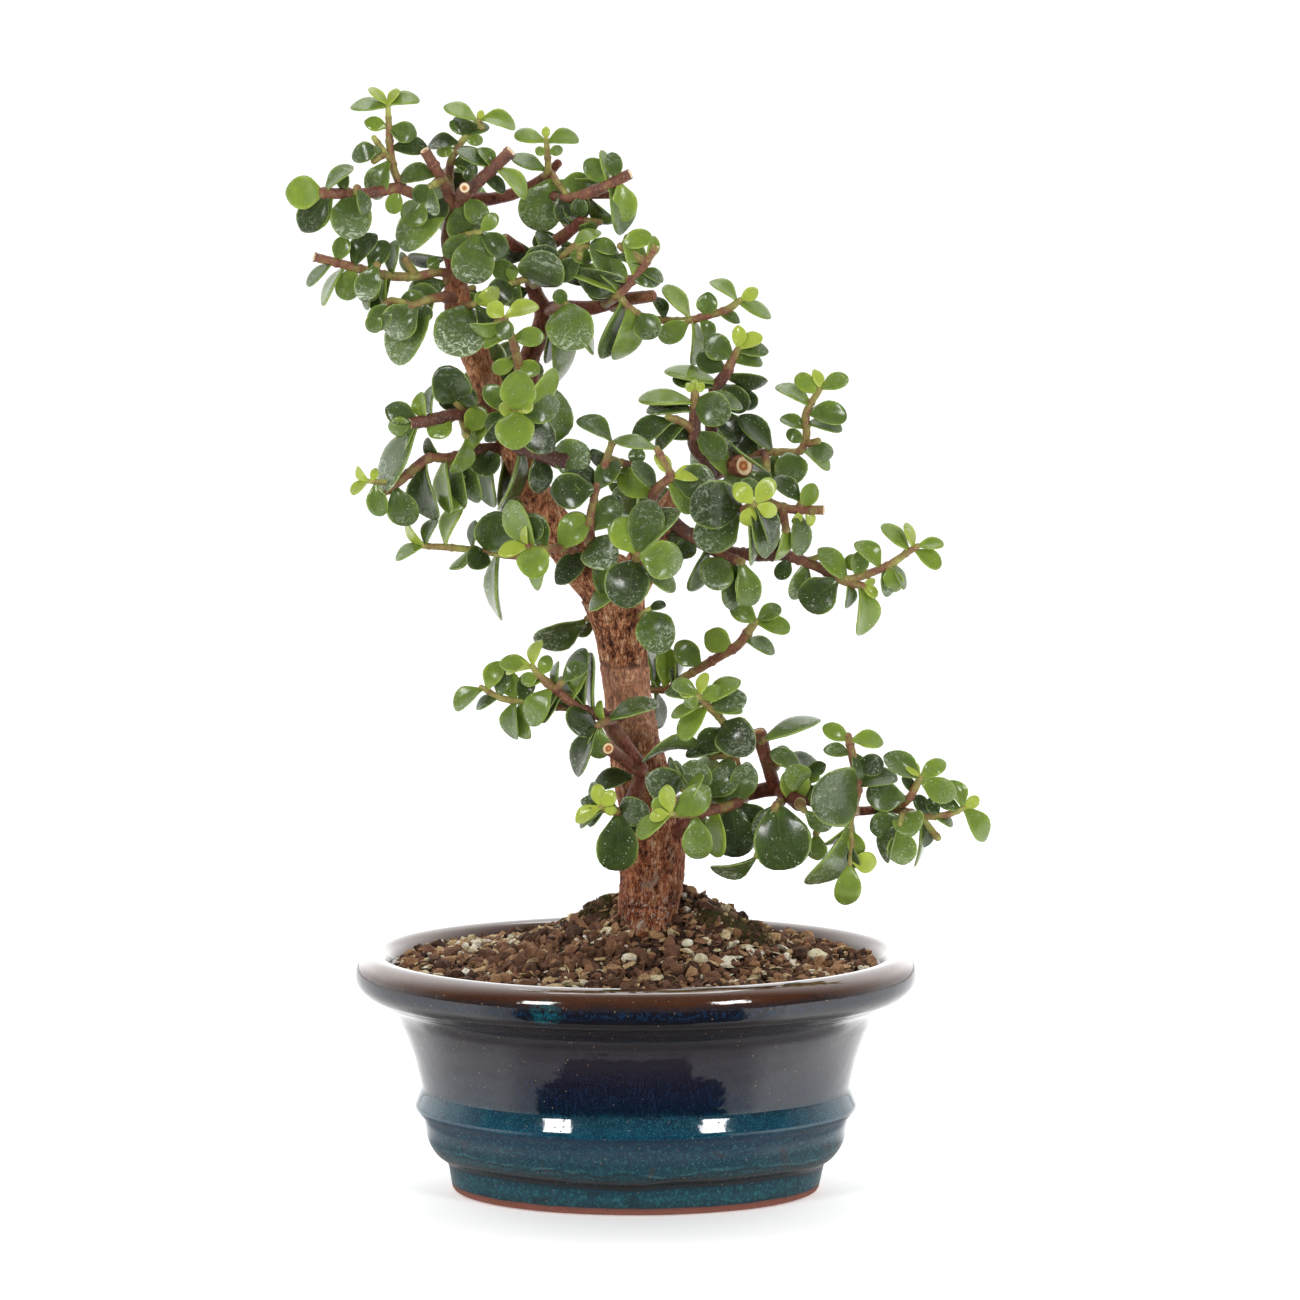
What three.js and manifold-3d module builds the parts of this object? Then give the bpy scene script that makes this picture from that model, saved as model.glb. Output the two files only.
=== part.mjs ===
// A dwarf jade bonsai in a glazed oval pot: pot, drain screens, soil, moss, loose pumice, a woody
// trunk with its limbs, and the leafy shoots that they carry.
// Millimetres, +Z up, +X along the pot's long side, the plant's front towards -Y. The origin is the
// centre of the pot's underside, in the plane that the pot stands on.

import * as THREE from 'three';
import { mergeVertices } from 'three/addons/utils/BufferGeometryUtils.js';
import Module from 'manifold-3d';

const wasm = await Module();
wasm.setup();

// Driving dimensions of the pot
const RIM_LENGTH = 200;
const RIM_DEPTH = 160;
const POT_HEIGHT = 86;
const FLOOR_TOP = 10.5;
const FOOT_RECESS = 3.5;
const DRAIN_HOLE = 12;
const DRAIN_OFFSET = 32;
const POT_SIDES = 26;

// Clearance between two pieces that touch on the real plant
const GAP = 0.3;

// Driving dimensions of the leaves: length to width of an open leaf and of one seen edge-on, and the
// thickness and the hollow of its upper face, as parts of its width
const OPEN_LEAF = 1.22;
const EDGE_LEAF = 1.4;
const LEAF_THICKNESS = 0.17;
const LEAF_HOLLOW = 0.06;
const THINNEST_LEAF = 1.3;
const THICKEST_LEAF = 2.4;

// The front view, in which the plant's routes and leaves are laid out by hand. It is VIEW_SIZE units
// wide and high; u runs to the right and v runs down. The eye stands VIEW_DISTANCE in front of the
// trunk and VIEW_HEIGHT up, VIEW_SHIFT to the right, and looks down by VIEW_PITCH.
// VIEW_REACH is its distance to the picture plane, in units, and UNIT is one unit at the trunk, in mm.
const VIEW_SIZE = 1300;
const VIEW_DISTANCE = 1900;
const VIEW_HEIGHT = 428;
const VIEW_SHIFT = 5;
const VIEW_REACH = 5408;
const VIEW_PITCH = THREE.MathUtils.degToRad(7.02);
const UNIT = 0.357;

const UP = new THREE.Vector3(0, 0, 1);
const TO_EYE = new THREE.Vector3(0, -1, 0);

// The point that the front view shows at (u, v), at a depth in mm behind the trunk's middle.
function seen(u, v, depth) {
  const right = u - VIEW_SIZE / 2;
  const up = VIEW_SIZE / 2 - v;
  const ray = new THREE.Vector3(
    right,
    VIEW_REACH * Math.cos(VIEW_PITCH) + up * Math.sin(VIEW_PITCH),
    up * Math.cos(VIEW_PITCH) - VIEW_REACH * Math.sin(VIEW_PITCH),
  );
  ray.multiplyScalar((VIEW_DISTANCE + depth) / ray.y);
  return new THREE.Vector3(VIEW_SHIFT, -VIEW_DISTANCE, VIEW_HEIGHT).add(ray);
}

// Solids

// Sliver edges shorter than this, in mm, that the cuts leave are closed up.
const SLIVER = 0.1;

// A closed three.js geometry as a solid.
function solid(geometry) {
  const bare = geometry.clone();
  bare.deleteAttribute('normal');
  bare.deleteAttribute('uv');
  const merged = mergeVertices(bare, 1e-4);
  const mesh = new wasm.Mesh({
    numProp: 3,
    vertProperties: new Float32Array(merged.attributes.position.array),
    triVerts: new Uint32Array(merged.index.array),
  });
  return new wasm.Manifold(mesh);
}

function join(solids) {
  return solids.reduce((whole, next) => whole.add(next));
}

// The largest body of a solid, without the crumbs that a cut leaves and without inner hollows.
function largest(whole) {
  const bodies = whole.decompose();
  return bodies.reduce((best, next) => (next.volume() > best.volume() ? next : best));
}

function movePoints(geometry, place) {
  const position = geometry.attributes.position;
  const point = new THREE.Vector3();
  for (let i = 0; i < position.count; i += 1) {
    point.fromBufferAttribute(position, i);
    const moved = place(point);
    position.setXYZ(i, moved.x, moved.y, moved.z);
  }
  return geometry;
}

// A tapered round limb along a route of {at, radius}: a cylinder whose rings are moved to the route.
// It ends a little beyond the last stop, by OVERHANG of its radius there, so that leaves root in it.
const OVERHANG = 0.8;

function limb(route, sides, grow = 0) {
  const curve = new THREE.CatmullRomCurve3(route.map((stop) => stop.at), false, 'centripetal');
  const steps = route.length - 1;
  const overhang = OVERHANG * route[steps].radius;
  const rings = [];
  let side = new THREE.Vector3(1, 0.13, 0.07);
  for (let i = 0; i <= steps; i += 1) {
    const tangent = curve.getTangent(i / steps);
    side = side.clone().addScaledVector(tangent, -side.dot(tangent)).normalize();
    const beyond = i === 0 ? -grow : i === steps ? grow + overhang : 0;
    const at = route[i].at.clone().addScaledVector(tangent, beyond);
    rings.push({ at, side, across: side.clone().cross(tangent), radius: route[i].radius + grow });
  }
  const tube = new THREE.CylinderGeometry(1, 1, 1, sides, steps);
  return solid(movePoints(tube, (point) => {
    const ring = rings[Math.round((point.y + 0.5) * steps)];
    return ring.at.clone()
      .addScaledVector(ring.side, point.x * ring.radius)
      .addScaledVector(ring.across, point.z * ring.radius);
  }));
}

// A route read in the front view, [u, v, depth in mm, width in units] a stop, as points and radii.
function routeOf(stops) {
  return stops.map(([u, v, depth, width]) => ({ at: seen(u, v, depth), radius: (width * UNIT) / 2 }));
}

// Pot

// Half the depth of the oval whose half length is given: the wall is as thick at the front as at the
// ends, and the small ovals near the middle of the floor keep one shape.
function halfDepth(halfLength) {
  return Math.max(halfLength - (RIM_LENGTH - RIM_DEPTH) / 2, 0.6 * halfLength);
}

// An oval turned body: a lathe whose rings are pressed to the pot's oval. The profile holds [r, z].
function oval(profile) {
  const points = profile.map(([r, z]) => new THREE.Vector2(r, z));
  return movePoints(new THREE.LatheGeometry(points, POT_SIDES), (point) => {
    const r = Math.hypot(point.x, point.z);
    const squash = r > 0 ? halfDepth(r) / r : 1;
    return new THREE.Vector3(point.x, -point.z * squash, point.y);
  });
}

const HALF_RIM = RIM_LENGTH / 2;

// The outside from the foot to the crest of the lip: foot, groove, lower band, ledge, wall, neck, lip
const POT_OUTSIDE = [
  [65.6, 0], [67.2, 7], [68, 10.6], [72.6, 13], [75.2, 18.5], [76, 26.8], [77.8, 29.2], [78.3, 39],
  [80.4, 50], [83.6, 60], [88.8, 66.8], [97.6, 72.3], [HALF_RIM, 78.4], [98.4, 83.6], [93.4, POT_HEIGHT],
];
// The inside from the lip down to the floor
const POT_INSIDE = [
  [88.6, 84.4], [85.4, 79.5], [80.2, 62], [74.6, 46], [71, 28], [67.5, 15], [60, FLOOR_TOP],
];

function pot() {
  const body = solid(oval([
    [0, FOOT_RECESS], [54, FOOT_RECESS], [56, 0], ...POT_OUTSIDE, ...POT_INSIDE, [0, FLOOR_TOP],
  ]));
  const holes = [-DRAIN_OFFSET, DRAIN_OFFSET].map((x) => solid(
    new THREE.CylinderGeometry(DRAIN_HOLE / 2, DRAIN_HOLE / 2, 2 * FLOOR_TOP, 16)
      .rotateX(Math.PI / 2)
      .translate(x, 0, FLOOR_TOP),
  ));
  return holes.reduce((whole, hole) => whole.subtract(hole), body);
}

// A square of plastic mesh over a drain hole, under the soil: equal bars both ways.
const SCREEN_SIZE = 22;
const SCREEN_THICKNESS = 1;
const SCREEN_BAR = 1.4;
const SCREEN_BARS = 3;

function drainScreen(x) {
  const pitch = (SCREEN_SIZE - SCREEN_BAR) / (SCREEN_BARS - 1);
  const bars = [];
  for (let i = 0; i < SCREEN_BARS; i += 1) {
    const offset = (i - (SCREEN_BARS - 1) / 2) * pitch;
    bars.push(new THREE.BoxGeometry(SCREEN_SIZE, SCREEN_BAR, SCREEN_THICKNESS).translate(0, offset, 0));
    bars.push(new THREE.BoxGeometry(SCREEN_BAR, SCREEN_SIZE, SCREEN_THICKNESS).translate(offset, 0, 0));
  }
  const middle = FLOOR_TOP + GAP + SCREEN_THICKNESS / 2;
  return join(bars.map((bar) => solid(bar.translate(x, 0, middle)))).simplify(SLIVER);
}

// The room that a screen takes up in the soil.
function screenRoom(x) {
  const side = SCREEN_SIZE + 2 * GAP;
  const height = SCREEN_THICKNESS + 2 * GAP;
  return solid(new THREE.BoxGeometry(side, side, height).translate(x, 0, FLOOR_TOP + height / 2));
}

// Soil, moss and pumice

const SOIL_EDGE = 81;
const MOUND_HEIGHT = 25;
const MOUND_CENTRE = [8, 15];
const MOUND_REACH = [38, 30];

// Height of the soil's surface: a mound that is highest just behind the trunk, with low ripples.
function soilHeight(x, y) {
  const along = (x - MOUND_CENTRE[0]) / MOUND_REACH[0];
  const back = (y - MOUND_CENTRE[1]) / MOUND_REACH[1];
  const mound = MOUND_HEIGHT * Math.exp(-(along ** 2) - back ** 2);
  const ripples = 0.9 * Math.sin(x * 0.21 + 1.3) * Math.cos(y * 0.26 - 0.4);
  return SOIL_EDGE + mound + ripples;
}

function soil(screens, woods, lift = 0) {
  const wall = POT_INSIDE.slice(1).reverse().map(([r, z]) => [r - 1.5 * GAP, z + GAP]);
  const top = [85.2, 66, 50, 38, 27, 15].map((r) => [r, SOIL_EDGE]);
  const body = oval([[0, FLOOR_TOP + GAP], ...wall, ...top, [0, SOIL_EDGE]]);
  const filled = solid(movePoints(body, (point) => {
    const z = point.z >= SOIL_EDGE ? soilHeight(point.x, point.y) + lift : point.z;
    return new THREE.Vector3(point.x, point.y, z);
  }));
  return largest([...screens, ...woods].reduce((whole, cutter) => whole.subtract(cutter), filled));
}

// Where the line of sight at (u, v) meets the soil.
function onSoil(u, v) {
  let depth = -RIM_DEPTH / 2;
  let point = seen(u, v, depth);
  while (point.z > soilHeight(point.x, point.y)) {
    depth += 0.5;
    point = seen(u, v, depth);
  }
  return point;
}

// A low cushion of moss: a flattened ball whose lower half goes into the soil, which is then cut off.
function mossPad(middleX, middleY, halfLength, halfWidth, height) {
  return solid(movePoints(new THREE.SphereGeometry(1, 10, 4), (point) => {
    const x = middleX + point.x * halfLength;
    const y = middleY + point.z * halfWidth;
    return new THREE.Vector3(x, y, soilHeight(x, y) - point.y * height);
  }));
}

// A loose grain of pumice that lies on the soil, width in units.
function pumiceGrain(u, v, width, turn) {
  const middle = onSoil(u, v);
  const size = width * UNIT;
  const grain = new THREE.IcosahedronGeometry(0.5, 0);
  grain.scale(size, 0.75 * size, 0.62 * size);
  grain.rotateZ(turn);
  grain.translate(middle.x, middle.y, soilHeight(middle.x, middle.y) + 0.24 * size);
  return solid(grain);
}

const PUMICE = {
  pumice_grain_1: [630, 962, 15, 0.4],
  pumice_grain_2: [687, 946, 13, 1.1],
  pumice_grain_3: [701, 964, 17, 2.3],
  pumice_grain_4: [817, 960, 19, 2.8],
};

// Wood: routes of [u, v, depth, width]

const TRUNK = [
  [646, 985, 3, 40], [648, 945, 1, 50], [649, 912, 0, 60], [651, 870, 0, 64], [653, 832, 0, 64],
  [645, 790, 1, 58], [635, 740, 2, 51], [627, 697, 3, 47], [621, 650, 3, 50], [617, 612, 1, 58],
  [611, 588, 0, 63], [584, 563, -2, 46], [559, 532, -3, 37], [529, 480, -4, 32], [507, 431, -4, 30],
  [479, 364, -5, 28], [464, 330, -5, 27], [457, 297, -5, 26], [455, 274, -5, 18], [448, 240, -5, 14],
  [455, 203, -5, 13],
];

const LIMBS = [
  // right, to a cut end
  [[618, 600, 4, 44], [640, 568, 8, 36], [654, 535, 9, 28], [672, 505, 8, 24], [694, 482, 6, 22],
    [718, 469, 2, 20], [742, 466, -10, 22]],
  // upper right, and its three arms
  [[512, 446, -2, 22], [522, 418, 2, 20], [529, 392, 4, 20], [530, 357, 6, 20], [539, 335, 7, 20],
    [544, 312, 7, 19], [537, 297, 7, 16], [531, 279, 7, 15], [527, 256, 7, 14]],
  [[542, 310, 7, 15], [562, 308, 4, 16], [590, 308, 0, 15], [620, 300, -4, 14], [652, 296, -8, 12]],
  [[529, 262, 7, 12], [540, 251, 4, 12.6], [562, 237, 0, 12.6], [581, 221, -4, 12]],
  [[527, 256, 7, 12], [516, 247, 4, 11], [505, 239, 1, 11]],
  // top, and its arm
  [[452, 209, -5, 14], [471, 200, -2, 14], [492, 199, 1, 13], [515, 193, 3, 12], [533, 185, 5, 11],
    [547, 175, 6, 10], [558, 163, 6, 9]],
  [[533, 186, 5, 8], [556, 193, 2, 8], [585, 195, 0, 8], [611, 195, -2, 8]],
  // low right, and its two cut arms
  [[662, 840, 0, 18], [682, 828, -10, 14], [702, 812, -13, 13], [728, 801, -15, 13], [752, 793, -17, 14],
    [776, 789, -19, 15], [800, 797, -20, 12], [826, 806, -21, 10], [860, 811, -23, 9], [895, 807, -25, 8]],
  [[775, 790, -19, 14], [771, 775, -22, 13], [764, 752, -26, 13], [759, 733, -28, 14]],
  [[778, 789, -19, 14], [790, 796, -28, 15], [799, 803, -36, 16]],
  // low left, and its ringed stub
  [[640, 835, 0, 14], [627, 815, -12, 12], [634, 792, -17, 12], [641, 770, -20, 13], [627, 748, -21, 15],
    [611, 727, -21, 15], [601, 712, -20, 11]],
  [[642, 773, -20, 13], [625, 760, -24, 13], [607, 747, -28, 12]],
];

// Shoots. Stems are routes as above. A leaf is [base u, base v, tip u, tip v, width, marks]; its base
// is taken to the nearest stem. Marks: y yellow-green tip, l light, o olive, d dark, g grey-green,
// b bloomed, f tip leans away from the eye (towards it otherwise), u the underside shows.
// Pairs are [count, length in units, turn in degrees]: opposite leaves up the first stem, each pair a
// quarter turn round from the last, as the plant sets them.

const SHOOTS = {
  shoot_top_left: {
    stems: [
      [[447, 214, -6, 12], [430, 203, -8, 11], [412, 193, -11, 11], [395, 188, -14, 11], [378, 192, -17, 11],
        [350, 194, -21, 11], [323, 193, -24, 11]],
      [[404, 190, -12, 9], [395, 173, -13, 8], [391, 155, -14, 8], [389, 129, -15, 7], [388, 106, -16, 5]],
      [[391, 160, -14, 6], [384, 151, -16, 6], [374, 138, -19, 6]],
    ],
    leaves: [
      [386, 106, 350, 108, 13, 'l'], [390, 106, 419, 97, 12, 'l'], [387, 102, 368, 89, 9, 'y'],
      [388, 102, 399, 89, 8, 'y'], [385, 128, 364, 121, 14, 'l'], [393, 129, 417, 135, 20],
      [388, 128, 405, 143, 9], [393, 148, 428, 150, 17, 'd'], [382, 150, 351, 157, 18],
      [383, 150, 374, 148, 9], [390, 160, 372, 199, 23, 'b'],
      [325, 190, 353, 166, 12, 'b'], [346, 192, 342, 172, 12], [321, 193, 287, 191, 31, 'l'],
      [328, 194, 302, 232, 28, 'd'], [334, 194, 311, 229, 23, 'f'], [349, 195, 353, 237, 38, 'b'],
      [360, 193, 365, 218, 9], [425, 199, 404, 224, 26], [397, 190, 392, 214, 16, 'lf'],
    ],
  },
  shoot_crown: {
    stems: [[[453, 206, -5, 10], [449, 180, -4, 9], [453, 155, -5, 8], [463, 140, -6, 7], [479, 120, -8, 6]]],
    leaves: [
      [476, 120, 444, 105, 13, 'l'], [479, 121, 516, 124, 15, 'l'], [478, 121, 482, 110, 7, 'y'],
      [466, 137, 450, 121, 12], [466, 137, 488, 124, 13], [465, 139, 483, 141, 11, 'l'],
      [458, 142, 427, 144, 15, 'd'], [455, 148, 436, 152, 12, 'l'], [452, 163, 478, 172, 14],
    ],
  },
  shoot_crown_left: {
    stems: [[[452, 212, -6, 12], [446, 188, -12, 11], [427, 154, -18, 11]]],
    leaves: [
      [440, 176, 400, 175, 17], [449, 197, 430, 220, 20, 'd'], [451, 205, 399, 247, 34, 'ob'],
      [436, 190, 414, 200, 18, 'd'],
    ],
  },
  shoot_crown_right: {
    stems: [
      [[455, 206, -7, 12], [470, 190, -13, 12], [507, 155, -18, 12.6]],
      [[460, 199, -9, 11], [464, 189, -24, 11.5]],
    ],
    leaves: [
      [490, 166, 457, 150, 14], [492, 168, 480, 147, 12, 'f'], [498, 172, 527, 198, 14, 'l'],
      [484, 180, 506, 190, 13, 'd'], [457, 206, 461, 232, 22, 'b'], [466, 200, 486, 222, 22, 'b'],
    ],
  },
  shoot_top_right: {
    stems: [
      [[545, 180, 5, 9], [548, 166, 1, 7], [547, 150, -1, 6], [546, 136, -2, 5]],
      [[550, 172, 5, 8], [560, 186, -2, 7], [566, 194, -4, 6]],
    ],
    leaves: [
      [545, 142, 514, 135, 13, 'l'], [548, 143, 578, 135, 14, 'l'], [546, 140, 546, 126, 8, 'y'],
      [548, 153, 563, 149, 10, 'l'], [546, 154, 535, 149, 9, 'l'], [546, 171, 511, 158, 15],
      [552, 180, 533, 230, 41, 'b'], [561, 190, 576, 224, 30, 'd'], [562, 184, 592, 186, 26],
      [562, 178, 604, 181, 15, 'f'],
    ],
  },
  shoot_top_right_tip: {
    stems: [[[552, 196, 0, 9], [575, 197, -6, 10], [594, 191, -9, 11], [626, 176, -12, 11]]],
    leaves: [
      [609, 183, 585, 160, 20], [617, 180, 611, 152, 17], [606, 184, 600, 150, 9, 'l'],
      [619, 182, 626, 222, 23, 'l'], [610, 188, 626, 234, 25, 'f'], [588, 196, 613, 224, 14, 'd'],
      [582, 196, 578, 216, 16, 'd'],
    ],
  },
  shoot_upper_right: {
    stems: [
      [[530, 282, 6, 11], [538, 274, -5, 9], [556, 262, -12, 8], [574, 246, -14, 7]],
      [[538, 274, -5, 8], [522, 280, -9, 7], [508, 284, -12, 6]],
    ],
    leaves: [
      [551, 265, 541, 230, 14, 'd'], [556, 262, 568, 248, 12, 'd'], [566, 253, 592, 260, 15],
      [572, 247, 600, 230, 12, 'l'], [575, 246, 590, 238, 9, 'b'], [538, 274, 550, 244, 34, 'dg'],
      [549, 266, 590, 266, 22, 'd'], [516, 282, 494, 262, 20], [510, 284, 490, 298, 26, 'd'],
      [520, 281, 516, 312, 16, 'g'], [512, 283, 512, 264, 12, 'l'],
    ],
  },
  shoot_upper_right_tip: {
    stems: [
      [[604, 304, -3, 10], [618, 295, -13, 9], [640, 271, -14, 9], [654, 249, -16, 9]],
      [[618, 295, -13, 8], [629, 307, -14, 7], [641, 315, -14, 6]],
    ],
    leaves: [
      [618, 295, 572, 268, 20, 'l'], [619, 294, 592, 240, 24], [630, 284, 604, 262, 18],
      [634, 278, 632, 234, 20, 'l'], [648, 260, 655, 236, 12, 'l'], [642, 268, 619, 253, 11],
      [640, 271, 664, 280, 11], [638, 314, 656, 338, 26], [629, 308, 621, 362, 25, 'l'],
      [622, 300, 599, 358, 20], [610, 299, 588, 284, 18, 'd'],
    ],
  },
  shoot_left_upper: {
    stems: [
      [[456, 276, -5, 10], [440, 272, -9, 9], [418, 276, -12, 9], [390, 276, -15, 9], [365, 270, -17, 9],
        [349, 266, -18, 9], [335, 262, -19, 9], [318, 258, -21, 9]],
      [[416, 276, -12, 8], [405, 259, -16, 8]],
    ],
    leaves: [
      [335, 260, 308, 287, 10, 'g'], [337, 262, 345, 236, 17], [353, 266, 375, 233, 20, 'd'],
      [369, 270, 387, 241, 20, 'd'], [392, 275, 397, 240, 14], [353, 268, 344, 300, 23, 'l'],
      [346, 268, 322, 306, 9, 'l'], [375, 273, 363, 302, 23, 'b'], [390, 276, 376, 313, 17, 'd'],
      [378, 274, 365, 310, 9, 'f'], [386, 276, 386, 336, 18, 'lf'], [421, 275, 400, 252, 12],
      [438, 273, 430, 256, 12],
    ],
  },
  shoot_leader_left: {
    stems: [[[462, 302, -4, 12], [444, 297, -14, 11], [428, 300, -21, 8], [412, 306, -24, 7]]],
    leaves: [
      [444, 290, 407, 296, 20, 'g'], [430, 298, 396, 306, 16, 'f'], [418, 304, 386, 334, 34, 'b'],
      [434, 304, 397, 365, 38, 'b'], [426, 300, 424, 322, 16, 'd'],
    ],
  },
  shoot_leader_front: {
    stems: [
      [[449, 246, -4, 8], [463, 236, -13, 7], [480, 232, -18, 6]],
    ],
    leaves: [
      [478, 233, 469, 284, 40, 'b'], [480, 234, 507, 256, 20, 'd'], [470, 234, 444, 256, 20],
      [482, 233, 497, 214, 14, 'l'],
    ],
  },
  shoot_leader_disc: {
    stems: [[[460, 304, -4, 10], [468, 306, -15, 8], [474, 304, -20, 7]]],
    leaves: [
      [468, 306, 455, 354, 50, 'bb'], [474, 304, 496, 340, 20, 'd'], [474, 304, 484, 292, 10, 'l'],
      [473, 304, 500, 290, 17, 'y'],
    ],
  },
  shoot_second_front: {
    stems: [[[548, 312, 5, 10], [560, 306, -12, 9], [566, 304, -18, 7]]],
    leaves: [
      [567, 304, 577, 347, 44, 'b'], [556, 312, 564, 382, 25, 'o'], [566, 306, 592, 356, 14, 'f'],
      [552, 310, 546, 364, 14, 'd'], [566, 304, 556, 290, 14],
    ],
  },
  shoot_lime_front: {
    stems: [[[524, 402, 0, 9], [521, 380, -18, 9], [514, 345, -27, 9], [505, 318, -30, 6]]],
    leaves: [
      [504, 317, 488, 303, 17, 'y'], [506, 317, 539, 306, 15, 'y'], [504, 320, 470, 329, 14, 'l'],
      [510, 337, 483, 346, 11, 'l'], [513, 338, 545, 337, 18, 'l'], [517, 362, 540, 372, 16, 'l'],
      [516, 362, 492, 370, 15, 'l'],
    ],
  },
  shoot_rosette_front: {
    stems: [[[497, 412, -4, 10], [508, 412, -28, 9], [516, 410, -42, 6]]],
    leaves: [
      [516, 408, 519, 372, 33, 'l'], [516, 412, 516, 446, 36, 'l'], [514, 409, 499, 405, 14, 'y'],
      [518, 409, 533, 402, 15, 'y'], [508, 406, 484, 386, 20], [516, 404, 557, 370, 18, 'l'],
      [514, 410, 560, 404, 28], [512, 414, 553, 452, 32, 'd'], [506, 410, 486, 428, 17, 'g'],
      [508, 416, 486, 442, 16, 'd'],
    ],
  },
  shoot_mid_front: {
    stems: [[[516, 446, -4, 14], [524, 448, -18, 15], [542, 453, -23, 17], [562, 460, -26, 19]]],
    leaves: [
      [552, 448, 590, 456, 34, 'b'], [548, 448, 577, 390, 24, 'o'], [556, 452, 588, 404, 20, 'g'],
      [520, 452, 502, 512, 16], [536, 456, 540, 494, 22, 'd'], [524, 446, 530, 420, 20, 'd'],
    ],
  },
  shoot_left_mid: {
    stems: [
      [[496, 406, -4, 13], [468, 412, -14, 12], [439, 418, -20, 12.6], [415, 423, -24, 12.6]],
      [[470, 412, -13, 9], [458, 404, -18, 8], [452, 396, -20, 7]],
    ],
    leaves: [
      [420, 420, 385, 408, 23, 'd'], [412, 422, 388, 428, 18, 'l'], [432, 416, 431, 385, 10],
      [456, 402, 446, 367, 36, 'd'], [462, 406, 470, 384, 26, 'd'], [450, 416, 430, 436, 24, 'l'],
      [418, 424, 383, 493, 25, 'b'], [416, 424, 398, 462, 14, 'gf'], [470, 414, 487, 436, 20, 'l'],
      [426, 420, 420, 392, 14, 'l'],
    ],
  },
  shoot_left_low: {
    stems: [
      [[504, 449, -3, 13], [478, 450, -11, 12], [448, 458, -17, 10], [429, 458, -20, 10], [415, 468, -22, 10],
        [400, 481, -24, 9], [386, 492, -26, 7]],
      [[396, 483, -24, 6], [382, 482, -27, 6], [368, 481, -29, 5]],
    ],
    leaves: [
      [369, 481, 351, 494, 9, 'y'], [369, 480, 356, 467, 9, 'y'], [372, 481, 376, 468, 8, 'y'],
      [376, 483, 379, 517, 20], [396, 488, 411, 526, 29], [426, 460, 434, 521, 25, 'd'],
      [470, 451, 486, 408, 20, 'lf'], [452, 458, 462, 480, 9, 'l'], [484, 449, 488, 475, 30, 'd'],
      [470, 452, 474, 504, 22, 'g'], [458, 456, 460, 510, 20], [492, 452, 492, 508, 20],
      [446, 458, 452, 514, 17, 'l'], [508, 452, 500, 512, 15], [440, 458, 424, 440, 12, 'd'],
    ],
  },
  shoot_left_trunk: {
    stems: [[[566, 548, 0, 9], [520, 556, -8, 8], [474, 550, -12, 7], [444, 547, -14, 7], [424, 546, -15, 6]]],
    leaves: [
      [425, 545, 405, 523, 10, 'y'], [426, 547, 395, 559, 10, 'l'], [426, 545, 436, 518, 11],
      [446, 546, 459, 505, 14, 'l'], [473, 549, 475, 520, 9, 'd'], [488, 553, 500, 510, 38, 'd'],
      [471, 551, 450, 570, 10, 'u'], [498, 555, 499, 621, 15, 'b'], [484, 552, 470, 566, 24, 'd'],
    ],
  },
  shoot_star_left: {
    stems: [[[578, 557, -3, 10], [566, 548, -22, 9], [548, 549, -32, 8], [529, 548, -38, 6]]],
    leaves: [
      [528, 547, 521, 516, 11, 'y'], [527, 548, 498, 553, 14, 'y'], [530, 549, 539, 575, 30, 'l'],
      [552, 551, 534, 590, 14, 'l'], [546, 548, 530, 513, 23, 'g'], [534, 547, 510, 500, 25, 'l'],
      [560, 548, 584, 514, 28, 'l'],
    ],
  },
  shoot_centre_left: {
    stems: [[[596, 574, -4, 12], [592, 548, -18, 10], [590, 520, -26, 9], [596, 490, -30, 7]]],
    leaves: [
      [597, 488, 550, 492, 34, 'd'], [592, 530, 620, 497, 26, 'g'], [591, 540, 610, 562, 36, 'b'],
      [592, 556, 603, 594, 20], [592, 552, 556, 584, 23, 'd'], [597, 490, 617, 460, 20, 'd'],
      [594, 500, 572, 462, 22, 'd'], [592, 524, 566, 520, 20, 'l'],
    ],
  },
  shoot_centre: {
    stems: [[[624, 594, -4, 13], [632, 574, -26, 11], [638, 554, -38, 8]]],
    leaves: [
      [637, 554, 616, 518, 29, 'l'], [639, 554, 682, 563, 36, 'l'], [640, 552, 652, 500, 34, 'g'],
      [636, 558, 678, 508, 23, 'g'], [634, 560, 620, 602, 42, 'd'], [636, 566, 676, 590, 14, 'o'],
      [628, 584, 588, 610, 17, 'l'],
    ],
  },
  shoot_centre_top: {
    stems: [
      [[664, 520, 2, 13], [652, 500, -22, 11], [660, 486, -30, 10], [672, 477, -34, 8]],
    ],
    leaves: [
      [652, 498, 618, 470, 26, 'l'], [656, 492, 632, 462, 16], [672, 476, 656, 453, 13, 'y'],
      [674, 476, 702, 473, 15, 'y'], [668, 481, 692, 513, 20, 'l'], [668, 478, 716, 484, 34, 'g'],
      [662, 486, 612, 442, 13], [658, 488, 580, 416, 16, 'g'], [664, 480, 636, 436, 18, 'd'],
    ],
  },
  shoot_centre_up: {
    stems: [
      [[714, 476, 2, 15], [709, 462, -5, 14], [695, 445, -11, 14], [694, 432, -13, 13], [695, 416, -14, 12],
        [695, 392, -15, 8]],
      [[694, 430, -13, 9], [680, 421, -18, 8], [668, 417, -21, 7]],
    ],
    leaves: [
      [695, 393, 686, 383, 8, 'y'], [695, 393, 704, 383, 8, 'y'], [695, 393, 696, 379, 7, 'y'],
      [692, 412, 646, 410, 14, 'g'], [690, 404, 638, 400, 12, 'lf'], [693, 402, 730, 414, 33, 'g'],
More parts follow.
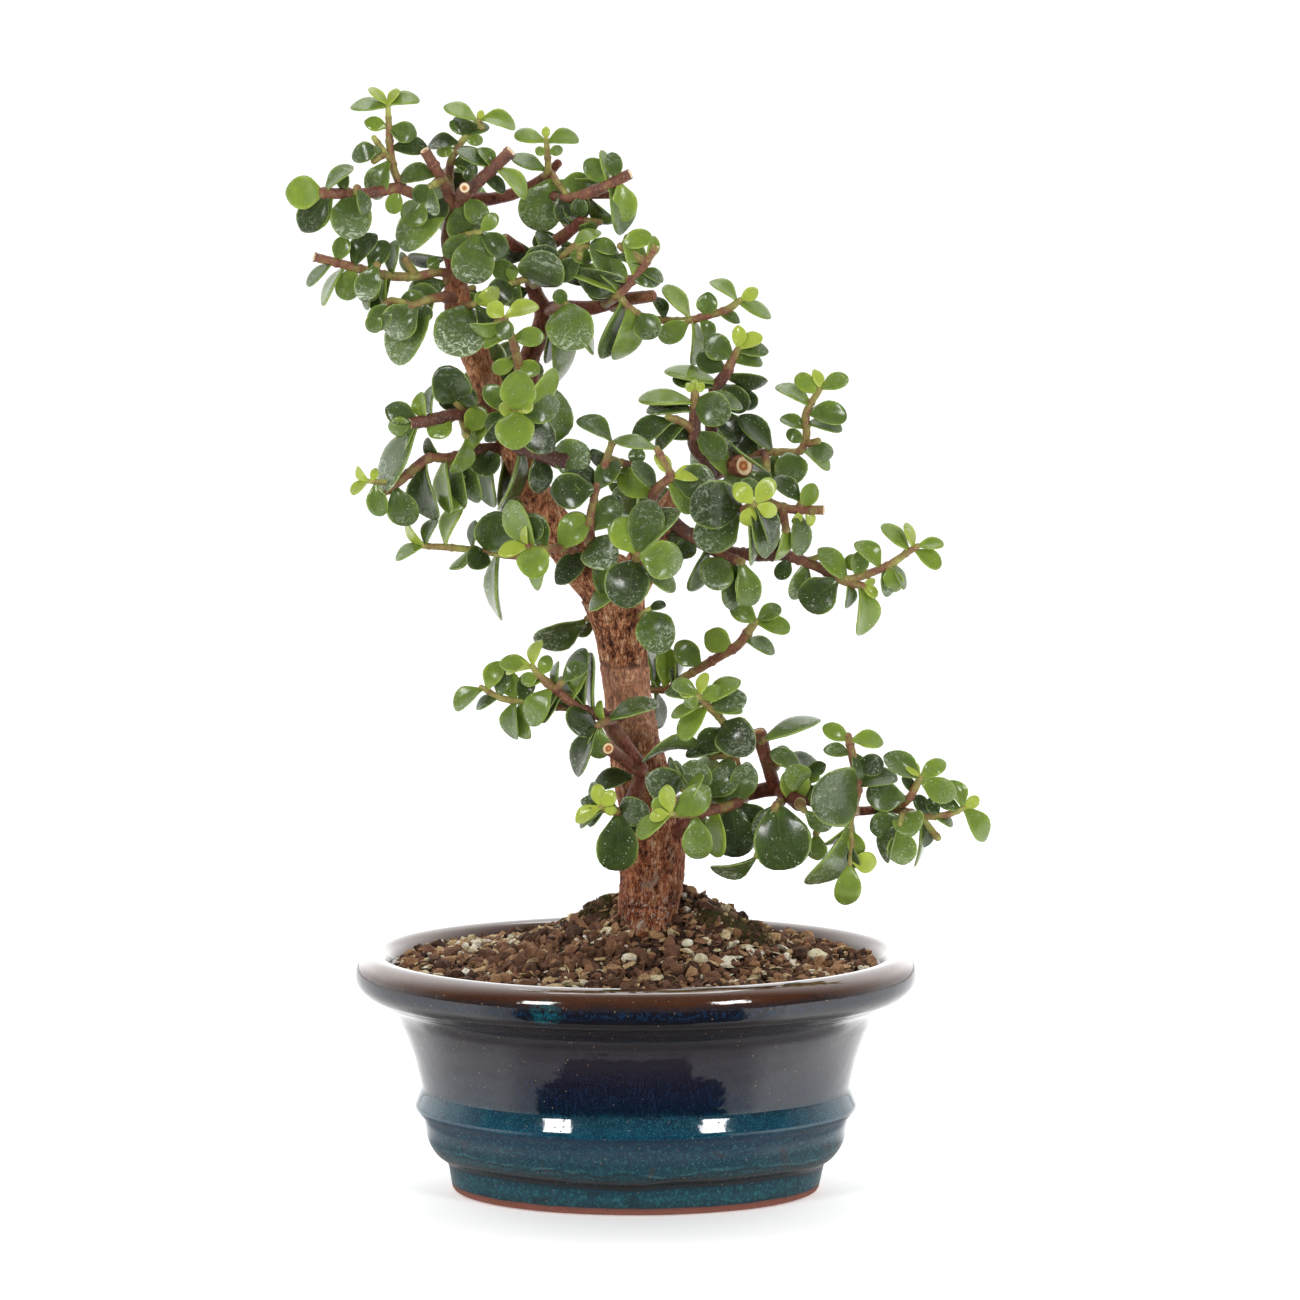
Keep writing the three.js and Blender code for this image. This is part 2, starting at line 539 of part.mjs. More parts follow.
      [697, 402, 743, 405, 12, 'f'], [676, 420, 631, 441, 20, 'd'], [684, 426, 655, 448, 14],
      [697, 430, 726, 456, 24], [704, 450, 732, 472, 15, 'l'], [706, 454, 768, 470, 14, 'b'],
      [690, 440, 662, 430, 14, 'd'],
    ],
  },
  shoot_cross_right: {
    stems: [[[704, 478, 0, 13], [730, 508, -22, 10], [748, 508, -36, 8], [755, 504, -43, 7]]],
    leaves: [
      [754, 503, 734, 484, 18, 'y'], [757, 503, 773, 479, 18, 'y'], [757, 506, 777, 514, 15, 'y'],
      [754, 507, 745, 526, 16, 'y'], [742, 510, 691, 498, 46, 'd'], [740, 512, 698, 547, 38, 'g'],
      [752, 508, 768, 558, 26], [748, 510, 752, 566, 10, 'b'], [756, 507, 775, 542, 17, 'd'],
      [728, 506, 718, 480, 22, 'd'],
    ],
  },
  shoot_right_low: {
    stems: [[[668, 520, 6, 14], [696, 538, -4, 12], [724, 556, -8, 11], [742, 562, -12, 8]]],
    leaves: [
      [726, 556, 707, 586, 34, 'b'], [706, 546, 691, 592, 17], [744, 562, 750, 606, 25, 'o'],
      [730, 560, 731, 610, 24], [738, 561, 742, 606, 11, 'b'], [712, 548, 736, 532, 18, 'g'],
      [688, 534, 684, 560, 20, 'd'],
    ],
  },
  shoot_right_inner: {
    stems: [
      [[728, 468, 2, 13], [752, 488, -10, 11], [772, 504, -16, 10], [790, 509, -19, 9], [820, 510, -22, 9]],
      [[783, 508, -18, 8], [786, 530, -24, 8]],
    ],
    leaves: [
      [797, 511, 798, 556, 20, 'g'], [803, 508, 814, 483, 17, 'l'], [805, 512, 813, 526, 10, 'y'],
      [801, 512, 793, 524, 9, 'y'], [784, 524, 779, 562, 14, 'l'], [766, 498, 762, 470, 18, 'd'],
      [776, 506, 770, 530, 14, 'd'], [758, 492, 742, 482, 20, 'g'],
    ],
  },
  shoot_right_mid: {
    stems: [
      [[724, 468, 8, 12], [747, 455, 4, 9], [780, 452, 1, 8], [801, 450, -1, 8], [806, 438, -2, 8],
        [806, 414, -4, 8], [820, 389, -6, 6]],
      [[806, 444, -2, 7], [818, 441, -5, 7]],
    ],
    leaves: [
      [821, 389, 849, 379, 15, 'l'], [820, 390, 815, 369, 11, 'y'], [818, 393, 796, 375, 17, 'l'],
      [810, 406, 776, 385, 14, 'l'], [808, 414, 847, 418, 21], [808, 424, 843, 428, 14, 'f'],
      [806, 430, 780, 418, 13], [805, 442, 787, 431, 13], [804, 450, 829, 471, 11, 'l'],
      [806, 447, 833, 456, 18], [790, 451, 790, 483, 31, 'g'], [772, 452, 738, 416, 20, 'd'],
      [758, 453, 735, 432, 25, 'd'], [776, 452, 770, 484, 20, 'g'],
    ],
  },
  shoot_right_top: {
    stems: [[[610, 305, 0, 10], [638, 316, 8, 8], [661, 320, 8, 8], [690, 320, 6, 8], [710, 315, 4, 8],
      [730, 308, 2, 8], [740, 300, 1, 6]]],
    leaves: [
      [690, 318, 663, 286, 15, 'l'], [706, 316, 708, 292, 20], [718, 312, 740, 323, 11],
      [737, 302, 711, 280, 12, 'l'], [741, 300, 758, 289, 13, 'y'], [740, 304, 771, 319, 14, 'l'],
      [690, 322, 659, 339, 21, 'l'], [693, 321, 697, 366, 14, 'l'], [700, 319, 713, 340, 14, 'f'],
      [664, 320, 656, 296, 12, 'd'],
    ],
  },
  shoot_right_up: {
    stems: [[[712, 470, 10, 13], [711, 430, 4, 13], [713, 406, 1, 13], [716, 389, 0, 13], [727, 371, -3, 11],
      [738, 349, -5, 7]]],
    leaves: [
      [738, 350, 738, 325, 14, 'y'], [739, 348, 763, 337, 13, 'y'], [737, 352, 769, 351, 13, 'g'],
      [734, 358, 705, 338, 25], [733, 362, 763, 361, 15], [727, 374, 768, 382, 18, 'd'],
      [726, 370, 697, 355, 21, 'd'], [716, 386, 672, 380, 18, 'd'], [718, 384, 664, 370, 14, 'lf'],
      [720, 384, 747, 410, 24, 'd'], [713, 400, 752, 396, 18, 'd'], [712, 412, 742, 440, 22, 'd'],
    ],
  },
  shoot_right_tip: {
    stems: [
      [[662, 512, 10, 16], [690, 536, 8, 14], [728, 552, 2, 13], [760, 555, -2, 13], [784, 555, -5, 12],
        [801, 560, -8, 11], [820, 568, -10, 10], [844, 581, -12, 9], [863, 586, -14, 8]],
      [[842, 580, -12, 8], [850, 579, -13, 8], [873, 572, -15, 8], [894, 562, -17, 8], [908, 552, -18, 7],
        [918, 546, -19, 6]],
      [[806, 561, -8, 6], [821, 556, -11, 6]],
    ],
    leaves: [
      [806, 562, 793, 600, 21, 'b'], [846, 580, 817, 549, 21, 'l'], [856, 577, 862, 551, 17],
      [880, 568, 857, 541, 17, 'l'], [882, 568, 886, 597, 14, 'b'], [888, 566, 897, 593, 21, 'l'],
      [892, 564, 904, 590, 9, 'f'], [910, 552, 880, 526, 15, 'l'], [914, 549, 904, 523, 10, 'y'],
      [918, 546, 944, 545, 11, 'l'], [913, 550, 940, 568, 15, 'l'], [838, 578, 803, 607, 36, 'd'],
      [848, 582, 848, 609, 11], [858, 585, 864, 636, 21, 'l'], [862, 586, 877, 597, 10, 'y'],
      [862, 586, 875, 579, 8, 'y'], [790, 556, 778, 580, 16, 'd'], [772, 555, 780, 538, 14, 'd'],
    ],
  },
  shoot_trunk_right: {
    stems: [[[636, 618, -4, 8], [646, 612, -13, 6], [649, 609, -15, 5]]],
    leaves: [[647, 611, 664, 647, 37, 'b'], [648, 610, 666, 604, 8, 'd']],
  },
  shoot_low_right_mid: {
    stems: [[[628, 692, 8, 10], [650, 689, 13, 8], [669, 689, 12, 8], [679, 681, 10, 8], [700, 668, 7, 9],
      [720, 656, 5, 10], [738, 645, 3, 10], [751, 628, 1, 9], [757, 621, 0, 6]]],
    leaves: [
      [756, 622, 731, 602, 20, 'l'], [757, 621, 781, 607, 15, 'l'], [757, 624, 790, 631, 16, 'l'],
      [743, 640, 775, 653, 12, 'g'], [732, 649, 705, 633, 25, 'l'], [702, 667, 676, 643, 24],
      [664, 689, 664, 646, 22, 'l'], [654, 689, 648, 644, 12, 'g'], [658, 689, 649, 658, 15, 'o'],
      [673, 686, 672, 667, 9, 'g'], [654, 690, 660, 729, 12, 'd'], [674, 684, 680, 642, 9, 'df'],
    ],
  },
  shoot_star_low: {
    stems: [[[744, 796, -16, 10], [736, 762, -24, 9], [732, 738, -28, 9], [721, 719, -31, 8], [708, 706, -36, 8],
      [698, 696, -40, 6]]],
    leaves: [
      [700, 696, 708, 673, 11, 'y'], [700, 694, 672, 683, 13, 'l'], [697, 696, 678, 692, 10, 'y'],
      [700, 698, 722, 689, 16, 'l'], [698, 699, 684, 707, 12, 'l'], [704, 702, 666, 688, 14, 'gf'],
      [708, 702, 739, 678, 15, 'lf'], [711, 706, 747, 697, 22, 'g'], [714, 710, 743, 711, 12, 'l'],
      [704, 704, 671, 717, 8, 'l'], [706, 708, 681, 740, 18, 'l'], [726, 728, 700, 748, 26, 'd'],
      [724, 722, 747, 747, 37, 'd'], [733, 744, 686, 758, 15, 'df'], [734, 748, 752, 742, 13, 'l'],
      [735, 756, 722, 776, 18, 'g'],
    ],
  },
  shoot_low_left: {
    stems: [
      [[622, 716, -8, 11], [601, 716, -18, 11], [571, 702, -24, 9], [555, 689, -27, 9], [539, 675, -30, 8],
        [532, 666, -32, 5]],
      [[585, 708, -20, 9], [552, 706, -20, 8], [519, 701, -21, 7], [501, 698, -22, 7], [481, 687, -23, 5]],
    ],
    leaves: [
      [484, 690, 454, 709, 15, 'l'], [487, 690, 501, 661, 18, 'l'], [499, 698, 475, 707, 10, 'g'],
      [500, 697, 506, 670, 15], [516, 700, 505, 672, 20, 'l'], [521, 701, 530, 674, 18, 'd'],
      [516, 702, 511, 740, 17, 'o'], [521, 702, 529, 739, 18, 'l'], [533, 668, 538, 640, 11, 'y'],
      [532, 667, 505, 671, 10, 'y'], [533, 668, 499, 663, 14, 'lf'], [540, 676, 549, 656, 14, 'l'],
      [538, 676, 521, 681, 13, 'l'], [545, 680, 526, 685, 8, 'l'], [552, 688, 527, 725, 24, 'l'],
      [558, 694, 537, 717, 13, 'g'], [562, 697, 541, 722, 14, 'g'], [584, 706, 580, 648, 22, 'df'],
      [588, 708, 555, 682, 20, 'd'], [572, 702, 584, 664, 15, 'lf'], [557, 690, 556, 661, 9, 'g'],
      [594, 712, 592, 652, 11, 'gf'], [590, 710, 574, 729, 34, 'd'],
    ],
  },
  shoot_low_left_stem: {
    stems: [[[612, 722, -21, 11], [604, 722, -28, 9], [598, 726, -31, 7]]],
    leaves: [
      [598, 726, 577, 777, 20, 'd'], [600, 726, 598, 760, 22, 'lf'], [606, 722, 659, 704, 14, 'b'],
      [604, 722, 598, 701, 9, 'l'],
    ],
  },
  shoot_low_rosette: {
    stems: [[[630, 812, -12, 11], [622, 812, -26, 9], [608, 810, -36, 8], [601, 807, -42, 6]]],
    leaves: [
      [600, 805, 597, 784, 14, 'y'], [602, 805, 614, 791, 14, 'y'], [602, 808, 617, 812, 10, 'y'],
      [600, 808, 576, 823, 14, 'y'], [604, 806, 581, 799, 12, 'g'], [604, 809, 578, 826, 9, 'g'],
      [606, 810, 588, 826, 9, 'g'], [622, 808, 590, 784, 20, 'b'], [620, 806, 646, 806, 29, 'g'],
      [619, 813, 616, 872, 41, 'b'], [624, 814, 648, 830, 18, 'd'],
    ],
  },
  shoot_low_front: {
    stems: [[[744, 797, -17, 12], [736, 804, -28, 11], [714, 810, -34, 10], [692, 814, -40, 9], [671, 814, -45, 6]]],
    leaves: [
      [670, 814, 668, 784, 16, 'y'], [672, 814, 637, 839, 24, 'y'], [671, 814, 649, 818, 12, 'y'],
      [674, 813, 710, 788, 28, 'l'], [686, 813, 701, 773, 9, 'lf'], [695, 814, 700, 860, 28, 'l'],
      [716, 810, 720, 857, 22, 'l'], [676, 814, 652, 800, 16, 'l'], [732, 806, 738, 857, 40, 'd'],
      [737, 804, 712, 873, 18, 'b'], [738, 803, 766, 828, 26, 'd'], [738, 803, 748, 764, 26, 'b'],
    ],
  },
  shoot_low_mid: {
    stems: [[[716, 806, -14, 11], [706, 798, -25, 9], [690, 792, -29, 8], [672, 784, -31, 6]]],
    leaves: [
      [682, 788, 648, 776, 34, 'g'], [680, 788, 676, 760, 14, 'g'], [698, 795, 693, 757, 32, 'b'],
      [704, 797, 739, 766, 28, 'b'], [706, 799, 742, 786, 30, 'b'], [696, 794, 668, 758, 12, 'gf'],
    ],
  },
  shoot_low_upper: {
    stems: [[[812, 801, -21, 10], [808, 788, -28, 8], [804, 772, -31, 6]]],
    leaves: [
      [807, 784, 788, 768, 26, 'l'], [804, 774, 826, 764, 14, 'd'], [804, 773, 770, 752, 14, 'g'],
      [807, 784, 814, 766, 16, 'l'], [808, 788, 830, 800, 22, 'bb'],
    ],
  },
  shoot_low_big: {
    stems: [[[784, 794, -20, 11], [780, 803, -32, 9], [776, 805, -40, 7]]],
    leaves: [
      [777, 805, 783, 868, 53, 'd'], [779, 804, 806, 858, 20, 'df'], [778, 804, 757, 838, 20, 'g'],
    ],
  },
  shoot_low_right: {
    stems: [
      [[856, 811, -22, 10], [854, 806, -34, 9], [858, 788, -36, 9], [854, 762, -38, 9], [848, 736, -39, 8]],
      [[854, 806, -34, 8], [848, 824, -37, 7], [848, 842, -38, 6], [845, 864, -38, 5]],
    ],
    leaves: [
      [848, 740, 823, 726, 16, 'l'], [849, 741, 884, 741, 16, 'l'], [852, 755, 823, 750, 12, 'b'],
      [855, 766, 884, 764, 21, 'd'], [858, 792, 812, 788, 48, 'b'], [850, 818, 813, 891, 25, 'b'],
      [848, 828, 862, 854, 16, 'l'], [848, 845, 855, 869, 11, 'd'], [846, 860, 875, 863, 20, 'y'],
      [845, 864, 839, 906, 25, 'l'], [848, 826, 824, 846, 10, 'lf'], [858, 786, 898, 778, 16, 'gf'],
      [851, 750, 862, 780, 14, 'df'],
    ],
  },
  shoot_low_right_tip: {
    stems: [
      [[888, 808, -24, 9], [908, 812, -29, 8], [926, 816, -30, 8], [945, 815, -31, 7], [964, 808, -32, 6]],
      [[896, 808, -26, 8], [908, 800, -32, 8], [915, 788, -35, 8], [921, 777, -37, 6]],
      [[920, 816, -30, 7], [938, 838, -32, 7]],
      [[904, 812, -30, 7], [900, 824, -36, 6]],
    ],
    leaves: [
      [908, 798, 866, 793, 28], [906, 808, 911, 830, 30, 'l'], [902, 818, 870, 830, 26],
      [901, 822, 883, 862, 16, 'g'], [901, 824, 904, 866, 28, 'l'], [926, 820, 925, 848, 14, 'df'],
      [920, 818, 917, 867, 9, 'gf'], [920, 779, 884, 755, 22, 'g'], [921, 778, 905, 762, 11, 'y'],
      [922, 778, 945, 761, 16, 'l'], [920, 780, 956, 797, 24, 'l'], [962, 809, 950, 780, 15, 'l'],
      [964, 808, 979, 797, 12, 'y'], [965, 809, 989, 840, 20, 'l'], [960, 810, 940, 802, 11, 'g'],
      [932, 816, 954, 824, 9, 'g'], [912, 794, 903, 776, 10, 'd'], [928, 815, 915, 795, 14, 'd'],
      [938, 815, 929, 798, 13, 'd'], [898, 809, 874, 812, 16, 'd'],
    ],
  },
  shoot_back_crown: {
    stems: [[[450, 222, -3, 9], [456, 205, 12, 8], [462, 182, 28, 5]]],
    leaves: [],
    pairs: [4, 46, 20],
  },
  shoot_back_upper: {
    stems: [[[500, 410, -4, 11], [498, 380, 14, 9], [492, 350, 30, 6]]],
    leaves: [],
    pairs: [4, 50, 65],
  },
  shoot_back_centre: {
    stems: [[[650, 545, 12, 11], [642, 520, 30, 9], [634, 490, 48, 6]]],
    leaves: [],
    pairs: [4, 50, 40],
  },
  shoot_back_right: {
    stems: [[[706, 476, 8, 11], [724, 460, 26, 9], [742, 436, 46, 6]]],
    leaves: [],
    pairs: [4, 50, 80],
  },
  shoot_back_low: {
    stems: [[[664, 806, 6, 12], [700, 794, 24, 9], [740, 780, 42, 6]]],
    leaves: [],
    pairs: [5, 50, 30],
  },
};

// Leaves

// The point of a shoot's stems that lies nearest to (u, v) in the front view, and the way it grows.
function nearestOnStems(stems, u, v) {
  let best = { distance: Infinity };
  for (const stops of stems) {
    for (let i = 0; i + 1 < stops.length; i += 1) {
      const [u0, v0, depth0] = stops[i];
      const [u1, v1, depth1] = stops[i + 1];
      const along = (u - u0) * (u1 - u0) + (v - v0) * (v1 - v0);
      const t = THREE.MathUtils.clamp(along / ((u1 - u0) ** 2 + (v1 - v0) ** 2), 0, 1);
      const at = [u0 + (u1 - u0) * t, v0 + (v1 - v0) * t, depth0 + (depth1 - depth0) * t];
      const distance = Math.hypot(at[0] - u, at[1] - v);
      if (distance < best.distance) {
        best = { distance, at, growth: seen(u1, v1, depth1).sub(seen(u0, v0, depth0)).normalize() };
      }
    }
  }
  return best;
}

// A leaf's place from how the front view shows it: {base, along, face, length, width}. A leaf that
// looks broad for its length leans along the line of sight; one that looks narrow is rolled edge-on,
// with its upper face turned the way the stem grows.
function leafSeen([baseU, baseV, tipU, tipV, shownWidth, marks = ''], stems) {
  const root = nearestOnStems(stems, baseU, baseV);
  const base = seen(...root.at);
  const run = seen(tipU, tipV, root.at[2]).sub(base);
  const shown = run.length();
  const across = shownWidth * UNIT;
  const length = Math.max(shown, across * OPEN_LEAF);
  const width = Math.max(across, length / EDGE_LEAF);
  const lean = Math.sqrt(length ** 2 - shown ** 2) * (marks.includes('f') ? -1 : 1);
  const along = run.addScaledVector(TO_EYE, lean).normalize();
  const facing = TO_EYE.clone().addScaledVector(along, -TO_EYE.dot(along)).normalize();
  const edge = along.clone().cross(facing);
  const turned = Math.acos(THREE.MathUtils.clamp(across / width, 0, 1));
  const roll = edge.dot(root.growth) < 0 ? -turned : turned;
  const face = facing.multiplyScalar(Math.cos(roll)).addScaledVector(edge, Math.sin(roll));
  if (marks.includes('u')) face.negate();
  return { base, along, face, length, width };
}

// Opposite pairs up a stem: the leaves get shorter towards the tip and stand out from the stem at
// PAIR_RISE to its growth.
const PAIR_RISE = THREE.MathUtils.degToRad(58);
const PAIR_START = 0.3;
const PAIR_END = 0.97;

function pairedLeaves(stops, [count, length, turn]) {
  const curve = new THREE.CatmullRomCurve3(routeOf(stops).map((stop) => stop.at), false, 'centripetal');
  const leaves = [];
  for (let i = 0; i < 2 * count; i += 1) {
    const pair = Math.floor(i / 2);
    const t = PAIR_START + ((PAIR_END - PAIR_START) * pair) / (count - 1);
    const growth = curve.getTangent(t);
    const first = UP.clone().addScaledVector(growth, -UP.dot(growth)).normalize();
    const second = growth.clone().cross(first);
    const angle = THREE.MathUtils.degToRad(turn + 90 * pair + 180 * (i % 2));
    const out = first.multiplyScalar(Math.cos(angle)).addScaledVector(second, Math.sin(angle));
    const along = growth.clone().multiplyScalar(Math.cos(PAIR_RISE)).addScaledVector(out, Math.sin(PAIR_RISE));
    const face = growth.addScaledVector(along, -growth.dot(along)).normalize();
    const size = length * UNIT * (1 - (0.55 * pair) / (count - 1));
    leaves.push({ base: curve.getPoint(t), along, face, length: size, width: size / OPEN_LEAF });
  }
  return leaves;
}

// A leaf as an egg-shaped plate with a hollow upper face: the rim is a ring of six points, broadest
// past the middle, and the two poles are the middles of the faces.
function leafSolid({ base, along, face, length, width }, grow = 0) {
  const side = along.clone().cross(face);
  const thickness = THREE.MathUtils.clamp(width * LEAF_THICKNESS, THINNEST_LEAF, THICKEST_LEAF);
  const reach = 4 * grow;
  return solid(movePoints(new THREE.SphereGeometry(1, 6, 2), ({ x, y, z }) => {
    const forward = (length * (1 + x)) / 2 + reach * x;
    const outward = (width / 2 + reach) * z * (1.04 + 0.3 * x);
    const up = (y * thickness) / 2 + 1.5 * grow * y - Math.abs(y) * width * LEAF_HOLLOW;
    return base.clone()
      .addScaledVector(along, forward)
      .addScaledVector(side, outward)
      .addScaledVector(face, up);
  }));
}

const STEM_SIDES = 4;

function shoot({ stems, leaves, pairs }, grow = 0) {
  const blades = leaves.map((leaf) => leafSeen(leaf, stems));
  if (pairs) blades.push(...pairedLeaves(stems[0], pairs));
  return join([
    ...stems.map((stops) => limb(routeOf(stops), STEM_SIDES, grow)),
    ...blades.map((blade) => leafSolid(blade, grow)),
  ]);
}

const TRUNK_SIDES = 10;
const LIMB_SIDES = 6;

function trunk(grow = 0) {
  return limb(routeOf(TRUNK), TRUNK_SIDES, grow);
}

function wood(grow = 0) {
  return join([trunk(grow), ...LIMBS.map((stops) => limb(routeOf(stops), LIMB_SIDES, grow))]);
}

// Assembly

const BARK = { color: 0x8a5a3c, roughness: 0.9 };
const FOLIAGE = { color: 0x4c7a33, roughness: 0.4 };
const GLAZE = { color: 0x14324a, roughness: 0.15 };
const SCREEN = { color: 0x20261f, roughness: 0.7 };
const EARTH = { color: 0x4a382d, roughness: 1 };
const MOSS = { color: 0x47632a, roughness: 1 };
const STONE = { color: 0xd2cdb8, roughness: 0.95 };

const bonsai = new THREE.Group();

function addNode(name, whole, { color, roughness }) {
  const { numProp, numVert, vertProperties, triVerts } = whole.getMesh();
  const points = new Float32Array(numVert * 3);
  for (let i = 0; i < numVert; i += 1) {
    points.set(vertProperties.subarray(i * numProp, i * numProp + 3), i * 3);
  }
  const geometry = new THREE.BufferGeometry();
  geometry.setAttribute('position', new THREE.BufferAttribute(points, 3));
  geometry.setIndex(new THREE.BufferAttribute(triVerts, 1));
  geometry.computeVertexNormals();
  const material = new THREE.MeshStandardMaterial({ color, roughness, metalness: 0, flatShading: true });
  const mesh = new THREE.Mesh(geometry, material);
  mesh.name = name;
  bonsai.add(mesh);
}

// Each piece is cut by the pieces placed before it, made larger by the gap, and keeps its main body.
const placed = [];

function fit(name, whole, grown, finish) {
  const clear = placed.reduce((left, earlier) => left.subtract(earlier), whole);
  addNode(name, largest(largest(clear).simplify(SLIVER)), finish);
  placed.push(grown);
}

const screenPlaces = { drain_screen_left: -DRAIN_OFFSET, drain_screen_right: DRAIN_OFFSET };
const screenCutters = Object.values(screenPlaces).map(screenRoom);
addNode('pot', pot(), GLAZE);
for (const [name, x] of Object.entries(screenPlaces)) addNode(name, drainScreen(x), SCREEN);

fit('trunk', wood(), wood(GAP), BARK);

const trunkCutter = trunk(GAP);
addNode('soil', soil(screenCutters, [trunkCutter]), EARTH);
const soilCutter = soil([], [], GAP);

const mossPads = {
  moss_right: mossPad(37, 4, 16, 9, 2.8),
  moss_left: mossPad(-14, 10, 8, 6, 2.4),
};
for (const [name, pad] of Object.entries(mossPads)) {
  addNode(name, largest(pad.subtract(soilCutter).subtract(trunkCutter)).simplify(SLIVER), MOSS);
}
for (const [name, grain] of Object.entries(PUMICE)) {
  addNode(name, largest(pumiceGrain(...grain).subtract(soilCutter)), STONE);
}

for (const [name, parts] of Object.entries(SHOOTS)) {
  fit(name, shoot(parts), shoot(parts, GAP), FOLIAGE);
}

export default bonsai;
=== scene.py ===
"""A dwarf jade bonsai in a glazed oval pot, finished in Blender round its CAD model.

Shapes are worked out in millimetres as whole numpy arrays, in the CAD model's own frame, and turned
into metres where they become meshes.
"""

import math

import bpy
import numpy as np
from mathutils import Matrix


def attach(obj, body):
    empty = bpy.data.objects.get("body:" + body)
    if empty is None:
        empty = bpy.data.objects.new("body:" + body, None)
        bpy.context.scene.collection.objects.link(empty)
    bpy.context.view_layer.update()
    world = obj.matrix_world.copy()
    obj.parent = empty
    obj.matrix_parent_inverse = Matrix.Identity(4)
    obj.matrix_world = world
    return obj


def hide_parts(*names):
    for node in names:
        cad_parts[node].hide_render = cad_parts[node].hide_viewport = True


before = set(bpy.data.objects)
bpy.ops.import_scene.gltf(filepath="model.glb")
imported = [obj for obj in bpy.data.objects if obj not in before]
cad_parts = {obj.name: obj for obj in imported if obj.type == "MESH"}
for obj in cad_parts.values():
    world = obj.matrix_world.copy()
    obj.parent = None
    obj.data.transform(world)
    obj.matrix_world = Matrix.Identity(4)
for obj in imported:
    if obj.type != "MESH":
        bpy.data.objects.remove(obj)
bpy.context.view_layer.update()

# Driving dimensions, in mm, as in the part's own source; only EDGE_LEAF, the length of a leaf over its
# width where it is seen edge-on, makes such a leaf narrower here
RIM_LENGTH = 200
RIM_DEPTH = 160
FLOOR_TOP = 10.5
FOOT_RECESS = 3.5
DRAIN_HOLE = 12
DRAIN_OFFSET = 32
OPEN_LEAF = 1.22
EDGE_LEAF = 1.7
LEAF_THICKNESS = 0.17
THINNEST_LEAF = 1.3
THICKEST_LEAF = 2.4
SOIL_EDGE = 81
MOUND_HEIGHT = 25
MOUND_CENTRE = (8, 15)
MOUND_REACH = (38, 30)

# The front view in which the plant's routes and leaves are laid out: VIEW_SIZE units wide and
# high, u to the right and v down. The camera stands at its eye.
VIEW_SIZE = 1300
VIEW_DISTANCE = 1900
VIEW_HEIGHT = 428
VIEW_SHIFT = 5
VIEW_REACH = 5408
VIEW_PITCH = math.radians(7.02)
UNIT = 0.357

METRES = 0.001
TO_EYE = np.array([0.0, -1.0, 0.0])
UP = np.array([0.0, 0.0, 1.0])


# Number work


def seen(u, v, depth):
    """Points that the front view shows at (u, v): the line of sight is followed until it is depth mm
    behind the trunk's middle."""
    u, v, depth = np.broadcast_arrays(*(np.asarray(a, float) for a in (u, v, depth)))
    right = u - VIEW_SIZE / 2
    up = VIEW_SIZE / 2 - v
    ray = np.stack([
        right,
        VIEW_REACH * math.cos(VIEW_PITCH) + up * math.sin(VIEW_PITCH),
        up * math.cos(VIEW_PITCH) - VIEW_REACH * math.sin(VIEW_PITCH),
    ], axis=-1)
    ray *= ((VIEW_DISTANCE + depth) / ray[..., 1])[..., None]
    return ray + [VIEW_SHIFT, -VIEW_DISTANCE, VIEW_HEIGHT]


def unit(vectors):
    """The vectors at length one."""
    return vectors / np.linalg.norm(vectors, axis=-1, keepdims=True)


def eased(value, low, high):
    """0 below low, 1 above high, and 3t^2 - 2t^3 between them."""
    t = np.clip((value - low) / (high - low), 0, 1)
    return t * t * (3 - 2 * t)


def scatter(seed, *shape):
    """Repeatable random numbers from 0 to 1."""
    return np.random.RandomState(seed).random_sample(shape)


# Large odd numbers that scramble a lattice corner and a seed, and the mask that keeps 32 bits
CORNER_MIX = (374761393, 668265263, 974711)
SEED_MIX = 1442695
LAST_MIX = 1274126177
ALL_BITS = 0xFFFFFFFF


def noise(points, cell, seed=0):
    """Smooth noise from -1 to 1: a fixed random value at each corner of a lattice with cubes of side
    cell, eased from corner to corner."""
    scaled = np.asarray(points, float) / cell
    whole = np.floor(scaled).astype(np.int64)
    part = scaled - whole
    part = part * part * (3 - 2 * part)
    total = np.zeros(scaled.shape[:-1])
    for corner in range(8):
        step = np.array([corner & 1, (corner >> 1) & 1, corner >> 2])
        weight = np.prod(np.where(step, part, 1 - part), axis=-1)
        mixed = ((whole + step) @ CORNER_MIX + seed * SEED_MIX) & ALL_BITS
        mixed = ((mixed ^ (mixed >> 13)) * LAST_MIX) & ALL_BITS
        total += weight * ((mixed ^ (mixed >> 16)) / ALL_BITS)
    return 2 * total - 1


def layered(points, cell, layers, seed=0):
    """Noise in layers, each half as high and half as wide as the one before."""
    return sum(noise(points, cell / 2**i, seed + i) / 2**i for i in range(layers))


def turns(count):
    """Even turns round a circle, from 0 on."""
    return np.linspace(0, 2 * np.pi, count, endpoint=False)


def cubic_line(stops, chord, count):
    """Evenly spaced points on a smooth line through stops that lie chord apart: each stretch is a cubic
    whose end slopes are those of the chords across its stops. Returns them and their lengths along it."""
    at = np.concatenate([[0], np.cumsum(chord)])
    slope = np.gradient(stops, at, axis=0)
    s = np.linspace(0, at[-1], count)
    i = np.clip(np.searchsorted(at, s, side="right") - 1, 0, len(chord) - 1)
    h = chord[i][:, None]
    t = ((s - at[i]) / chord[i])[:, None]
    line = ((1 + 2 * t) * (1 - t) ** 2 * stops[i] + t * (1 - t) ** 2 * h * slope[i]
            + t * t * (3 - 2 * t) * stops[i + 1] + t * t * (t - 1) * h * slope[i + 1])
    return line, s


